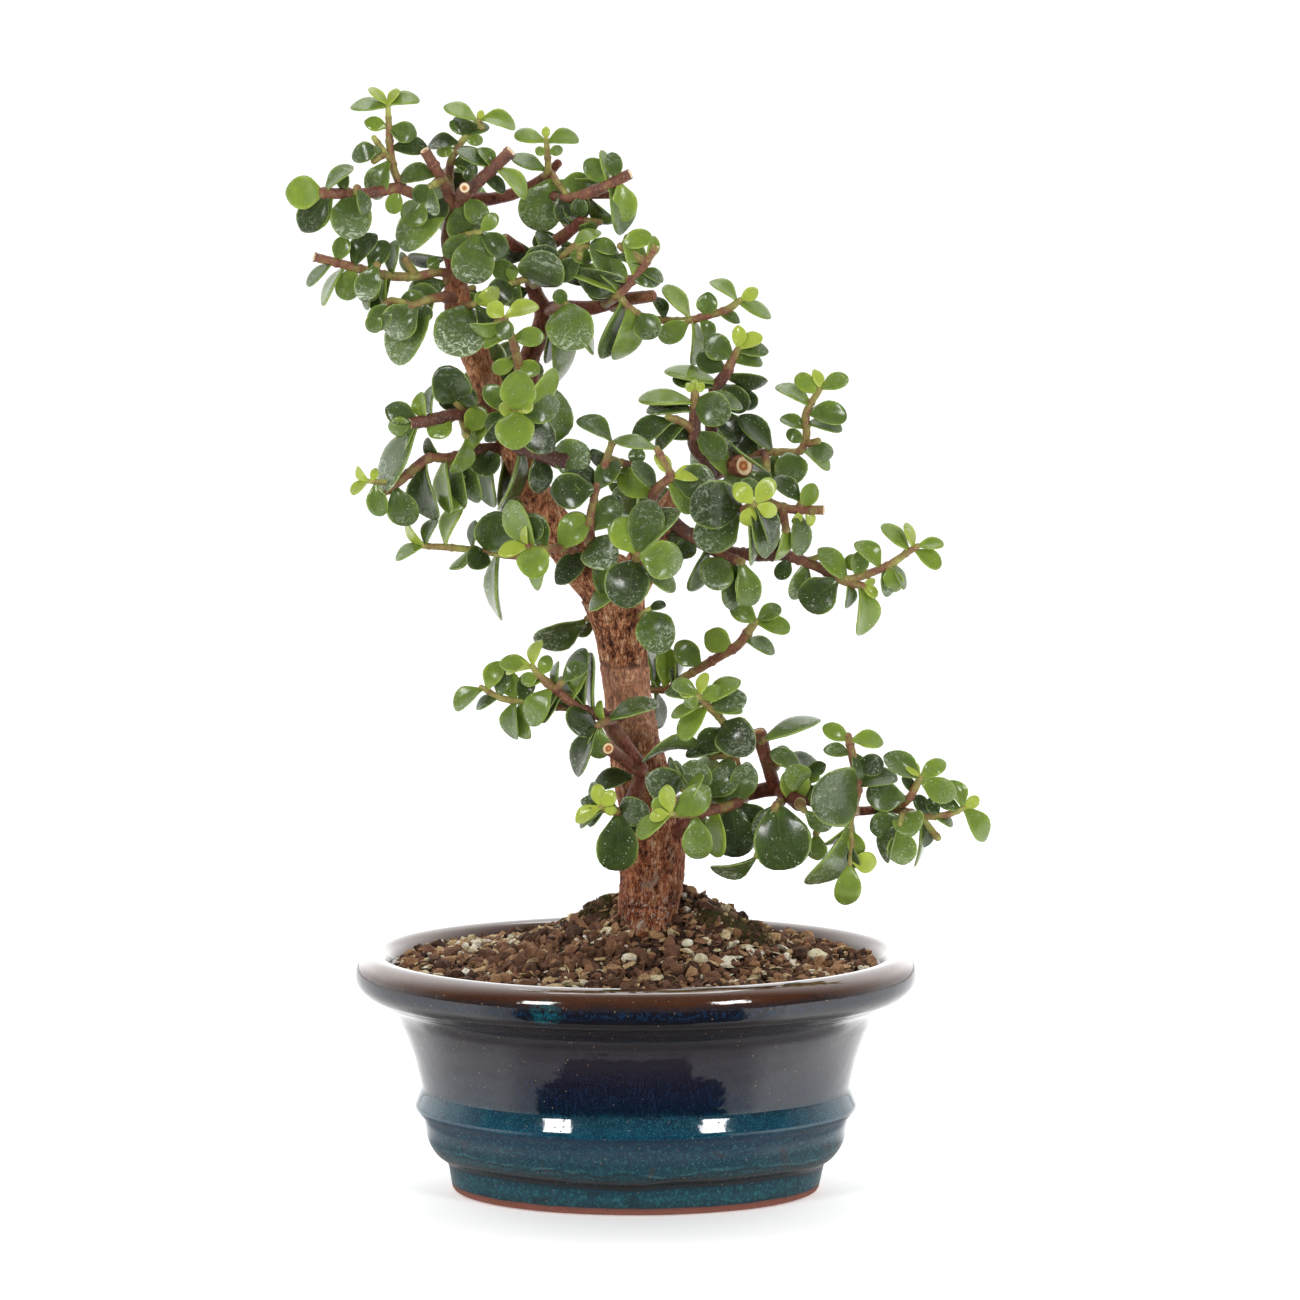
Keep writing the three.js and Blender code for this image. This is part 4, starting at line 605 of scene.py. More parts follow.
        [700, 696, 708, 673, 11, "y"], [700, 694, 672, 683, 13, "l"], [697, 696, 678, 692, 10, "y"],
        [700, 698, 722, 689, 16, "l"], [698, 699, 684, 707, 12, "l"], [704, 702, 666, 688, 14, "gf"],
        [708, 702, 739, 678, 15, "lf"], [711, 706, 747, 697, 22, "g"], [714, 710, 743, 711, 12, "l"],
        [704, 704, 671, 717, 8, "l"], [706, 708, 681, 740, 18, "l"], [726, 728, 700, 748, 26, "d"],
        [724, 722, 747, 747, 37, "d"], [733, 744, 686, 758, 15, "df"], [734, 748, 752, 742, 13, "l"],
        [735, 756, 722, 776, 18, "g"],
    ]},
    "shoot_low_left": {"stems": [
        [[622, 716, -8, 11], [601, 716, -18, 11], [571, 702, -24, 9], [555, 689, -27, 9],
         [539, 675, -30, 8], [532, 666, -32, 5]],
        [[585, 708, -20, 9], [552, 706, -20, 8], [519, 701, -21, 7], [501, 698, -22, 7], [481, 687, -23, 5]],
    ], "leaves": [
        [484, 690, 454, 709, 15, "l"], [487, 690, 501, 661, 18, "l"], [499, 698, 475, 707, 10, "g"],
        [500, 697, 506, 670, 15], [516, 700, 505, 672, 20, "l"], [521, 701, 530, 674, 18, "d"],
        [516, 702, 511, 740, 17, "o"], [521, 702, 529, 739, 18, "l"], [533, 668, 538, 640, 11, "y"],
        [532, 667, 505, 671, 10, "y"], [533, 668, 499, 663, 14, "lf"], [540, 676, 549, 656, 14, "l"],
        [538, 676, 521, 681, 13, "l"], [545, 680, 526, 685, 8, "l"], [552, 688, 527, 725, 24, "l"],
        [558, 694, 537, 717, 13, "g"], [562, 697, 541, 722, 14, "g"], [584, 706, 580, 648, 22, "df"],
        [588, 708, 555, 682, 20, "d"], [572, 702, 584, 664, 15, "lf"], [557, 690, 556, 661, 9, "g"],
        [594, 712, 592, 652, 11, "gf"], [590, 710, 574, 729, 34, "d"],
    ]},
    "shoot_low_left_stem": {"stems": [
        [[612, 722, -21, 11], [604, 722, -28, 9], [598, 726, -31, 7]],
    ], "leaves": [
        [598, 726, 577, 777, 20, "d"], [600, 726, 598, 760, 22, "lf"], [606, 722, 659, 704, 14, "b"],
        [604, 722, 598, 701, 9, "l"],
    ]},
    "shoot_low_rosette": {"stems": [
        [[630, 812, -12, 11], [622, 812, -26, 9], [608, 810, -36, 8], [601, 807, -42, 6]],
    ], "leaves": [
        [600, 805, 597, 784, 14, "y"], [602, 805, 614, 791, 14, "y"], [602, 808, 617, 812, 10, "y"],
        [600, 808, 576, 823, 14, "y"], [604, 806, 581, 799, 12, "g"], [604, 809, 578, 826, 9, "g"],
        [606, 810, 588, 826, 9, "g"], [622, 808, 590, 784, 20, "b"], [620, 806, 646, 806, 29, "g"],
        [619, 813, 616, 871, 39, "d"], [624, 814, 648, 830, 18, "d"],
    ]},
    "shoot_low_front": {"stems": [
        [[744, 797, -17, 12], [736, 804, -28, 11], [714, 810, -34, 10], [692, 814, -40, 9],
         [671, 814, -45, 6]],
    ], "leaves": [
        [670, 814, 668, 784, 16, "y"], [672, 814, 638, 838, 14, "l"], [671, 814, 649, 818, 12, "y"],
        [674, 813, 710, 788, 28, "l"], [686, 813, 701, 773, 9, "lf"], [695, 814, 700, 860, 28, "l"],
        [716, 810, 720, 857, 22, "l"], [676, 814, 652, 800, 16, "l"], [732, 806, 738, 857, 40, "d"],
        [738, 803, 766, 828, 26, "d"], [738, 803, 748, 764, 26, "b"],
    ]},
    "shoot_low_mid": {"stems": [
        [[716, 806, -14, 11], [706, 798, -25, 9], [690, 792, -29, 8], [672, 784, -31, 6]],
    ], "leaves": [
        [682, 788, 648, 776, 34, "g"], [680, 788, 676, 760, 14, "g"], [698, 795, 693, 757, 32, "b"],
        [704, 797, 739, 766, 28, "b"], [706, 799, 742, 786, 30, "b"], [696, 794, 668, 758, 12, "gf"],
    ]},
    "shoot_low_upper": {"stems": [
        [[812, 801, -21, 10], [808, 788, -28, 8], [804, 772, -31, 6]],
    ], "leaves": [
        [807, 784, 788, 768, 26, "l"], [804, 774, 826, 764, 14, "d"], [804, 773, 770, 752, 14, "g"],
        [807, 784, 814, 766, 16, "l"], [808, 788, 830, 800, 22, "bb"],
    ]},
    "shoot_low_big": {"stems": [
        [[784, 794, -20, 11], [780, 803, -32, 9], [776, 805, -40, 7]],
    ], "leaves": [
        [777, 805, 783, 868, 53, "d"], [779, 804, 806, 858, 20, "df"], [778, 804, 757, 838, 20, "g"],
    ]},
    "shoot_low_right": {"stems": [
        [[856, 811, -22, 10], [854, 806, -34, 9], [858, 788, -36, 9], [854, 762, -38, 9],
         [848, 736, -39, 8]],
        [[854, 806, -34, 8], [850, 824, -37, 7], [852, 842, -38, 6], [850, 864, -38, 5]],
    ], "leaves": [
        [848, 740, 823, 726, 16, "l"], [849, 741, 884, 741, 16, "l"], [852, 755, 823, 750, 12, "b"],
        [855, 766, 884, 764, 21, "d"], [864, 792, 811, 788, 56, "dg"], [846, 816, 815, 890, 30, "b"],
        [848, 828, 862, 854, 16, "l"], [851, 845, 857, 869, 11, "d"], [850, 860, 877, 863, 20, "y"],
        [849, 864, 846, 907, 25, "l"], [848, 826, 824, 846, 10, "lf"], [858, 786, 898, 778, 16, "gf"],
        [851, 750, 862, 780, 14, "df"],
    ]},
    "shoot_low_right_tip": {"stems": [
        [[888, 808, -24, 9], [908, 812, -29, 8], [926, 816, -30, 8], [945, 815, -31, 7], [964, 808, -32, 6]],
        [[896, 808, -26, 8], [908, 800, -32, 8], [915, 788, -35, 8], [921, 777, -37, 6]],
        [[920, 816, -30, 7], [938, 838, -32, 7]],
        [[904, 812, -30, 7], [900, 824, -36, 6]],
    ], "leaves": [
        [908, 798, 866, 793, 28], [906, 808, 911, 830, 30, "l"], [902, 818, 870, 830, 26],
        [901, 822, 883, 862, 16, "g"], [901, 824, 904, 866, 28, "l"], [926, 820, 925, 848, 14, "df"],
        [920, 818, 917, 867, 9, "gf"], [920, 779, 884, 755, 22, "g"], [921, 778, 905, 762, 11, "y"],
        [922, 778, 945, 761, 16, "l"], [920, 780, 956, 797, 24, "l"], [962, 809, 950, 780, 15, "l"],
        [964, 808, 979, 797, 12, "y"], [965, 809, 989, 840, 20, "l"], [960, 810, 940, 802, 11, "g"],
        [932, 816, 954, 824, 9, "g"], [912, 794, 903, 776, 10, "d"], [928, 815, 915, 795, 14, "d"],
        [938, 815, 929, 798, 13, "d"], [898, 809, 874, 812, 16, "d"],
    ]},
    "shoot_back_crown": {"stems": [
        [[450, 222, -3, 9], [456, 205, 12, 8], [462, 182, 28, 5]],
    ], "leaves": [], "pairs": [4, 46, 20]},
    "shoot_back_upper": {"stems": [
        [[500, 410, -4, 11], [498, 380, 14, 9], [492, 350, 30, 6]],
    ], "leaves": [], "pairs": [4, 50, 65]},
    "shoot_back_centre": {"stems": [
        [[650, 545, 12, 11], [642, 520, 30, 9], [634, 490, 48, 6]],
    ], "leaves": [], "pairs": [4, 50, 40]},
    "shoot_back_right": {"stems": [
        [[706, 476, 8, 11], [724, 460, 26, 9], [742, 436, 46, 6]],
    ], "leaves": [], "pairs": [4, 50, 80]},
    "shoot_back_low": {"stems": [
        [[664, 806, 6, 12], [700, 794, 24, 9], [740, 780, 42, 6]],
    ], "leaves": [], "pairs": [5, 50, 30]},
}


# Leaves and stems

LEAF_RINGS = 11
LEAF_AROUND = 12
FOOT_REACH = 0.48

# A leaf's age and its bloom by the letters beside it, and both where there are none
AGES = {"y": 0.0, "l": 0.36, "o": 0.5, "g": 0.7, "d": 0.84}
BLOOMS = {"bb": 1.0, "b": 0.62, "g": 0.3}
MIDDLE_AGE = 0.62
NO_BLOOM = 0.0

# Crossed pairs of leaves: how they stand out, where on the stem they start and how far they reach, how
# much shorter the last ones are, and their bloom
PAIR_RISE = math.radians(58)
FIRST_PAIR = 0.3
PAIRS_REACH = 0.67
PAIR_SHRINK = 0.55
PAIR_BLOOM = 0.15

# Shown widths from which a leaf is calmer and rounder, and at which it is so fully
CALM_WIDTH = 30
CALMEST_WIDTH = 46

# Stems thicker than this radius in mm end in a flat cut, others in a dome. Each end is given in rings:
# the share of the last radius, and how far past the end in last radii
CUT_STEM = 1.5
STEM_CUT = np.array([[1, 1, 0.93, 0.75, 0.5, 0.25], [0.3, 0.8, 0.9, 0.86, 0.74, 0.66]])
STEM_DOME = np.array([[0.97, 0.88, 0.72, 0.5, 0.3, 0.15], [0.25, 0.48, 0.66, 0.8, 0.88, 0.92]])


def nearest_on_stems(stems, u, v):
    """The stem point (u, v, depth) nearest to (u, v) in the front view, and the way the stem grows."""
    starts = np.array([stop[:3] for stem in stems for stop in stem[:-1]], float)
    ends = np.array([stop[:3] for stem in stems for stop in stem[1:]], float)
    run = (ends - starts)[:, :2]
    t = np.clip(((np.array([u, v]) - starts[:, :2]) * run).sum(1) / (run**2).sum(1), 0, 1)
    near = starts + (ends - starts) * t[:, None]
    best = np.argmin(np.hypot(near[:, 0] - u, near[:, 1] - v))
    return near[best], unit(seen(*ends[best]) - seen(*starts[best]))


def seen_leaf(stems, base_u, base_v, tip_u, tip_v, shown_width, marks=""):
    """A leaf's base, axis, upper face, length and width from how the front view shows it. One that looks
    broad for its length leans along the line of sight; one that looks narrow is rolled edge-on."""
    root, growth = nearest_on_stems(stems, base_u, base_v)
    base = seen(*root)
    run = seen(tip_u, tip_v, root[2]) - base
    shown = np.linalg.norm(run)
    across = shown_width * UNIT
    length = max(shown, across * OPEN_LEAF)
    width = max(across, length / EDGE_LEAF)
    lean = math.sqrt(length**2 - shown**2) * (-1 if "f" in marks else 1)
    along = unit(run + TO_EYE * lean)
    facing = unit(TO_EYE - along * TO_EYE.dot(along))
    edge = np.cross(along, facing)
    turned = math.acos(min(across / width, 1))
    roll = -turned if edge.dot(growth) < 0 else turned
    face = facing * math.cos(roll) + edge * math.sin(roll)
    return base, along, -face if "u" in marks else face, length, width


def paired_leaves(stops, count, length, turn):
    """Leaves in crossed pairs up a stem, shorter towards its tip, each standing out at PAIR_RISE."""
    line, _, _ = smooth_route(route_of(stops), 0.5)
    tangents, _, _ = carried_frames(line)
    leaves = []
    for i in range(2 * count):
        pair = i // 2
        at = int((FIRST_PAIR + PAIRS_REACH * pair / (count - 1)) * (len(line) - 1))
        growth = tangents[at]
        first = unit(UP - growth * UP.dot(growth))
        angle = math.radians(turn + 90 * pair + 180 * (i % 2))
        out = first * math.cos(angle) + np.cross(growth, first) * math.sin(angle)
        along = growth * math.cos(PAIR_RISE) + out * math.sin(PAIR_RISE)
        face = unit(growth - along * growth.dot(along))
        size = length * UNIT * (1 - PAIR_SHRINK * pair / (count - 1))
        leaves.append((line[at], along, face, size, size / OPEN_LEAF))
    return leaves


def leaf_skin(base, along, face, length, width, shape):
    """A fleshy leaf over rings a and turns b. Its half width is sin a, drawn in to a narrow foot, broadest
    past the middle, and raised to a power that makes some tips pointed; its section is a lens with a round
    rim. shape says how far the rim rises, as a bowl's does, how far the tip falls by the cube of the way
    along, how lopsided and twisted it is, how far it is folded along its middle, how pointed its tip is,
    and how narrow its foot starts."""
    cup, fall, lop, twist, fold, point, start = shape
    a = np.linspace(0, np.pi, LEAF_RINGS + 2)[1:-1, None]
    b = turns(LEAF_AROUND)
    way = (1 - np.cos(a)) / 2
    foot = start + (1 - start) * eased(way, 0, FOOT_REACH)
    lop = 1 + lop * np.sin(a) * np.sign(np.cos(b))
    outline = np.sin(a) ** (0.86 + point * eased(way, 0.5, 1)) * foot * (1.06 - 0.16 * np.cos(a))
    outward = width / 2 * outline * np.cos(b) * lop
    thickness = np.clip(width * LEAF_THICKNESS, THINNEST_LEAF, THICKEST_LEAF)
    rim = np.sign(np.sin(b)) * np.abs(np.sin(b)) ** 0.8
    across = np.cos(b) * np.sin(a)
    rise = thickness / 2 * np.sin(a) ** 0.55 * rim
    rise = rise + width * (cup * (1 - np.sqrt(1 - 0.9 * across**2)) + twist * across * (way - 0.3))
    rise = rise + width * fold * (np.sqrt(across**2 + 0.01) - 0.1)
    rise = rise + length * ((0.06 + 0.3 * max(fall, 0)) * np.sin(np.pi * way) - fall * way**3)
    forward = length * way + 0 * b
    side = np.cross(along, face)
    points = base + forward[..., None] * along + outward[..., None] * side + rise[..., None] * face
    tip = base + length * along - length * fall * face
    spot = np.stack([way + 0 * b, across, np.sin(b) + 0 * a, np.ones_like(across)], -1)
    return closed(points, base, tip), closed(spot, [0, 0, 0, 1], [1, 0, 0, 1])


def leaf_marks(marks):
    """A leaf's age, from lime to old, and its bloom, from the letters beside it."""
    age = next((AGES[m] for m in marks if m in AGES), MIDDLE_AGE)
    bloom = next((BLOOMS[m] for m in BLOOMS if m in marks), NO_BLOOM)
    return age, bloom


# Small leaves that the CAD model leaves out: [base u, base v, tip u, tip v, shown width, marks, shift],
# where shift is how many mm further back the base is than the stem nearest to it
EXTRA_LEAVES = [
    [452, 164, 482, 160, 15, "d", 0], [460, 203, 468, 246, 32, "g", 0], [560, 196, 588, 216, 26, "d", 0],
    [588, 200, 612, 222, 14, "", 0], [600, 222, 577, 230, 12, "", 0], [570, 232, 590, 262, 16, "g", 0],
    [588, 246, 618, 250, 15, "", 0], [580, 255, 556, 280, 20, "d", 0], [575, 268, 624, 290, 28, "d", 0],
    [532, 250, 556, 284, 34, "g", 0], [528, 262, 494, 258, 20, "d", 0], [620, 246, 652, 236, 18, "l", 0],
    [628, 278, 661, 280, 18, "g", 0], [528, 290, 500, 298, 22, "d", 0], [446, 258, 408, 254, 13, "d", 0],
    [446, 282, 408, 297, 26, "b", 0], [392, 300, 372, 330, 22, "", 0], [462, 292, 480, 306, 13, "", 0],
    [374, 161, 361, 142, 14, "g", 0], [482, 127, 452, 123, 15, "d", 0], [471, 186, 471, 164, 11, "", 5],
    [563, 220, 595, 231, 14, "", 6], [561, 240, 532, 243, 22, "d", 8], [601, 286, 559, 269, 24, "d", 4],
    [378, 310, 372, 333, 16, "", 0], [473, 288, 476, 309, 14, "d", 4], [497, 322, 511, 337, 18, "", 0],
    [446, 171, 469, 193, 20, "d", 8], [431, 186, 437, 216, 14, "b", -8], [461, 415, 445, 382, 26, "d", 6],
    [466, 433, 484, 407, 22, "l", -8], [492, 428, 491, 399, 18, "g", 4], [466, 436, 457, 475, 18, "l", -8],
    [508, 496, 505, 513, 14, "d", 5], [532, 507, 509, 517, 26, "l", 4], [455, 488, 449, 512, 26, "l", 6],
    [524, 538, 539, 517, 24, "d", 4], [534, 420, 543, 392, 28, "g", -4], [612, 443, 579, 417, 16, "g", 0],
    [657, 449, 613, 442, 12, "", -2], [619, 462, 589, 454, 15, "d", 5], [637, 467, 637, 447, 16, "g", 6],
    [641, 476, 595, 472, 11, "d", 0], [635, 496, 609, 477, 20, "g", 0], [644, 556, 686, 538, 40, "g", 8],
    [767, 471, 725, 443, 14, "b", -8], [760, 480, 722, 483, 15, "g", 0], [801, 502, 773, 477, 18, "d", 0],
    [858, 572, 848, 555, 16, "l", 5], [746, 386, 750, 411, 18, "d", 6], [764, 740, 821, 719, 13, "g", -5],
    [775, 767, 787, 747, 18, "b", 4], [777, 764, 823, 766, 16, "d", -5], [795, 805, 794, 768, 28, "l", 4],
    [816, 834, 818, 861, 20, "l", 6], [804, 810, 831, 829, 18, "b", -6], [757, 856, 712, 873, 18, "b", 6],
    [746, 838, 730, 828, 16, "d", 12], [712, 757, 644, 747, 18, "gcu", 0],
    [536, 284, 548, 252, 44, "g", -12], [587, 619, 534, 642, 28, "g", -3], [596, 619, 566, 635, 14, "g", 3],
    [562, 682, 587, 663, 16, "", -4], [634, 777, 593, 784, 18, "d", 4],
    [377, 265, 361, 300, 24, "b", -9], [357, 188, 366, 215, 12, "g", -9],
]

# The least gap in view units that a twig bridges, and the widths of a twig from its root to its leaf
SHORTEST_TWIG = 3
TWIG_WIDTHS = (8, 8, 7)


def share_extra_leaves():
    """Gives each extra leaf to the shoot whose stems are nearest. One whose base is clear of every stem
    gets a thin twig of its own, from the nearest stem or limb."""
    for u, v, tip_u, tip_v, width, marks, shift in EXTRA_LEAVES:
        def gap(name):
            """How far the leaf's base is from a shoot's stems."""
            near = nearest_on_stems(SHOOTS[name]["stems"], u, v)[0]
            return math.hypot(near[0] - u, near[1] - v)
        shoot = SHOOTS[min(SHOOTS, key=gap)]
        root = nearest_on_stems(shoot["stems"] + LIMBS, u, v)[0]
        end = np.array([u, v, root[2] + shift])
        if np.linalg.norm(end - root) > SHORTEST_TWIG:
            middle = root + (end - root) * [0.5, 0.5, 0.7]
            shoot["stems"].append([[*stop, wide] for stop, wide in zip((root, middle, end), TWIG_WIDTHS)])
        shoot["leaves"].append([u, v, tip_u, tip_v, width, marks])


def leaves_of(shoot, seed):
    """All leaves of a shoot as one surface. A leaf seen edge-on is flatter, so that it looks as narrow as
    its shown width says, and a broad one is calmer and rounder. A c among its marks curls it."""
    blades = []
    for leaf in shoot["leaves"]:
        marks = leaf[5] if len(leaf) > 5 else ""
        blade = seen_leaf(shoot["stems"], *leaf)
        shown_width, width = leaf[4], blade[4]
        open_to_view = min(max(1.5 * shown_width * UNIT / width - 0.25, 0.15), 1)
        broad = eased(shown_width, CALM_WIDTH, CALMEST_WIDTH)
        blades.append((blade, leaf_marks(marks), open_to_view, broad, "c" in marks))
    if "pairs" in shoot:
        paired = paired_leaves(shoot["stems"][0], *shoot["pairs"])
        blades += [(blade, (MIDDLE_AGE, PAIR_BLOOM), 1, 0, False) for blade in paired]
    surface = Surface()
    triangles = skin(LEAF_RINGS, LEAF_AROUND)
    chance = np.column_stack([scatter(seed, len(blades), 6), scatter(seed + 500, len(blades), 3)])
    for (blade, (age, bloom), open_to_view, broad, curled), luck in zip(blades, chance):
        loose = open_to_view * (1 - 0.7 * broad)
        shape = (
            open_to_view * (0.08 + 0.26 * luck[0]),
            0.24 if curled else loose * 0.34 * (luck[1] - 0.3),
            0.14 * (luck[2] - 0.5),
            0.34 * (luck[5] - 0.5),
            loose * 0.34 * max(luck[6] - 0.4, 0),
            0.6 * luck[7] * (1 - broad),
            0.3 + 0.36 * max(luck[8], broad),
        )
        points, spot = leaf_skin(*blade, shape)
        surface.add(points, triangles, leaf=(age, bloom, luck[3], luck[4]), spot=spot)
    return surface


def stem_skin(stops, around=12, spacing=0.7):
    """A green stem: its radius swells a little at each joint between pairs of leaves and ends in a dome,
    or, where it is thick, in a flat cut."""
    cut = stops[-1][3] * UNIT / 2 > CUT_STEM
    end = STEM_CUT if cut else STEM_DOME
    line, radius, s, side, across, way, flat = ended_route(stops, spacing, end, cut)
    pitch = 5 + 2 * radius[0]
    joint = np.abs((s + 0.3 * pitch) % pitch - pitch / 2)
    swell = 1 + 0.18 * np.exp(-((joint / 0.7) ** 2)) - 0.06 * np.exp(-(((joint - 1.2) / 0.5) ** 2))
    full = radius * np.where(way < 1, 1, swell) * way
    spread = spokes(side, across, around)
    wander = 1 + 0.07 * noise(line[:, None] + spread * full[:, None, None], 1.6, 9)
    points = line[:, None] + spread * (full[:, None] * wander)[..., None]
    crease = np.exp(-((joint / 0.35) ** 2))
    mark = np.stack([radius / 3, flat, crease, way], -1)
    mark = closed(np.repeat(mark, around, axis=0), mark[0], mark[-1])
    return closed(points, line[0], line[-1]), skin(len(line), around), mark


def stems_of(shoot):
    """All stems of a shoot as one surface."""
    surface = Surface()
    for stops in shoot["stems"]:
        points, triangles, mark = stem_skin(stops)
        surface.add(points, triangles, stem=mark)
    return surface


# Wood

# The rings past a limb's end, as a stem's are given: a cut inside a raised lip, and a dome
BOW = np.linspace(0.15, 1.45, 8)
LIMB_CUT = np.array([[0.97, 0.9, 0.84, 0.8, 0.55, 0.3, 0.15, 0.05],
                     [0.25, 0.4, 0.38, 0.25, 0.22, 0.22, 0.22, 0.22]])
LIMB_DOME = np.array([np.cos(BOW), 0.8 * np.sin(BOW)])


def bark_skin(stops, around, spacing, seed, lumps=1.0, cut=False, rings=()):
    """Bark over a route: its radius is raised by broad lumps, by ridges that run along the wood (one less
    the size of stretched noise), by flakes and by fine crumbs, and cut by a few thin cross cracks and at
    the heights in rings. A cut end is a flat disc inside a raised lip of bark; any other end closes to a
    dome."""
    end = LIMB_CUT if cut else LIMB_DOME
    line, thick, s, side, across, way, flat = ended_route(stops, spacing, end, cut)
    spread = spokes(side, across, around)
    place = spread * thick[:, None, None]
    wide = line[:, None] + place
    bend = noise(wide, 9, seed + 5)
    stretched = s[:, None] * 0.3
    ridge_at = np.stack([place[..., 0] + bend, place[..., 1] - bend, place[..., 2] + stretched], -1)
    lump = noise(wide, 14, seed) * 1.1 + noise(wide, 6, seed + 1) * 0.5
    ridges = 1 - 2.2 * np.abs(noise(ridge_at, 3.1, seed + 2)) - 0.5 * np.abs(noise(ridge_at, 1.5, seed + 3))
    crumbs = layered(wide, 1.2, 3, seed + 4)
    flakes = layered(ridge_at, 1.5, 2, seed + 8)
    ring = s[:, None] / 13 + 0.2 * noise(wide, 8, seed + 6)
    crack = np.exp(-((((ring % 1) - 0.5) / 0.03) ** 2)) * eased(noise(wide, 4, seed + 7), 0.1, 0.4) * 0.7
    wavy = wide[..., 2] + 1.6 * noise(wide, 8, seed + 9) + 0.6 * noise(wide, 2.5, seed + 10)
    for height in rings:
        crack = crack + np.exp(-(((wavy - height) / 0.6) ** 2))
    relief = ridges * 0.45 + flakes * 0.55 + crumbs * 0.5 - crack * 1.1
    size = np.clip(thick / 9, 0.12, 1)[:, None]
    fade = np.where(way < 1, 0, 1) if cut else way
    raised = (thick * way)[:, None] + fade[:, None] * (size * lumps * lump + size**0.9 * 0.42 * relief)
    points = line[:, None] + spread * raised[..., None]
    mark = np.stack([relief, *(part[:, None] + 0 * relief for part in (flat, way, thick / 10))], -1)
    return closed(points, line[0], line[-1]), skin(len(line), around), closed(mark, mark[0, 0], mark[-1, 0])


# Pot


def half_depth(half_length):
    """The y half axis of an oval of the pot whose x half axis is half_length."""
    return np.maximum(half_length - (RIM_LENGTH - RIM_DEPTH) / 2, 0.6 * half_length)


# The pot's profile (r, z), up the outside to the top of the wall inside the lip, and down the inside
POT_OUTSIDE = [
    (56, 0.6), (57.5, 0), (61, 0), (64.2, 0), (65.4, 0.7), (65.9, 2.2), (66.3, 4.4), (66.8, 7),
    (67.2, 8.8), (67.7, 10.2), (69.2, 11.4), (71.2, 12.9), (72.7, 14.8), (73.9, 17), (74.8, 19.4),
    (75.3, 21.8), (75.6, 23.6), (76, 25.4), (76.8, 27.1), (78, 28.6), (78.9, 30), (79, 31.2),
    (78.6, 32.3), (77.8, 34.3), (77.05, 36.2), (76.75, 37.2), (76.8, 38.4), (77.1, 40), (77.6, 42.5),
    (78.2, 45), (79.6, 50), (81.4, 55), (83.6, 60), (85.2, 63), (88.4, 66.6), (91.2, 68.6), (92.6, 69.3),
    (94.6, 70.6), (97.5, 72.6), (99.6, 75.6), (100, 79), (99, 82.4), (96.8, 84.9), (93.6, 86),
    (90.6, 85.3), (88.6, 83), (87.2, 80.8),
]
POT_INSIDE = [(85.4, 79.5), (82.6, 70), (80.2, 62), (77, 52), (74.6, 46), (72.4, 36), (71, 28), (69.6, 20),
              (67.5, 15), (64, 11.6), (60, 10.5), (58, 9), (57, 6), (56, 3.5)]

# Points round the wall and round each half of the floor, and the half length of the floor
WALL_AROUND = 288
FLOOR_AROUND = 120
FLOOR_REACH = 57.5


def profile_line(profile, count):
    """A profile (r, z) drawn as a smooth line of count points."""
    profile = np.asarray(profile, float)
    chord = np.linalg.norm(np.diff(profile, axis=0), axis=1)
    return cubic_line(profile, chord, count)[0]


def loop_skin(rings, around):
    """Triangles of a ring-shaped skin, closed both round the profile and round the pot."""
    i = np.arange(rings)[:, None]
    j = np.arange(around)
    here, after = i * around, (i + 1) % rings * around
    nxt = (j + 1) % around
    return cells(here + j, here + nxt, after + nxt, after + j)


def pot_wall():
    """The pot's wall, foot ring and lip: a closed profile carried round ovals, with the slight waver of
    a hand-finished piece and a groove that rises and falls. Each point keeps its height on the profile."""
    line = np.concatenate([profile_line(POT_OUTSIDE, 190), profile_line(POT_INSIDE, 60)[:-1]])
    r, z = line[:, 0, None], line[:, 1, None]
    turn = turns(WALL_AROUND)
    round_at = np.stack([40 * np.cos(turn) + 0 * r, 40 * np.sin(turn) + 0 * r, 1.5 * z + 0 * turn], -1)
    waver = 0.14 * noise(round_at, 17, 3) + 0.05 * noise(round_at, 6, 4)
    z = np.maximum(z, 0)
    sway = 1.5 * noise(round_at * [1, 1, 0.1], 26, 6) + 0.6 * noise(round_at * [1, 1, 0.1], 9, 7)
    wave = sway * eased(z, 4, 9.5) * (1 - eased(z, 13, 20)) * (r > 66)
    points = np.stack([(r + waver) * np.cos(turn), (half_depth(r) + waver) * np.sin(turn), z + wave], -1)
    points[..., 2] += 0.16 * noise(round_at * [1, 1, 0.2], 22, 5) * eased(z, 20, 40)
    surface = Surface()
    surface.add(points, loop_skin(len(line), turn.size), rise=z + 0 * turn)
    return surface


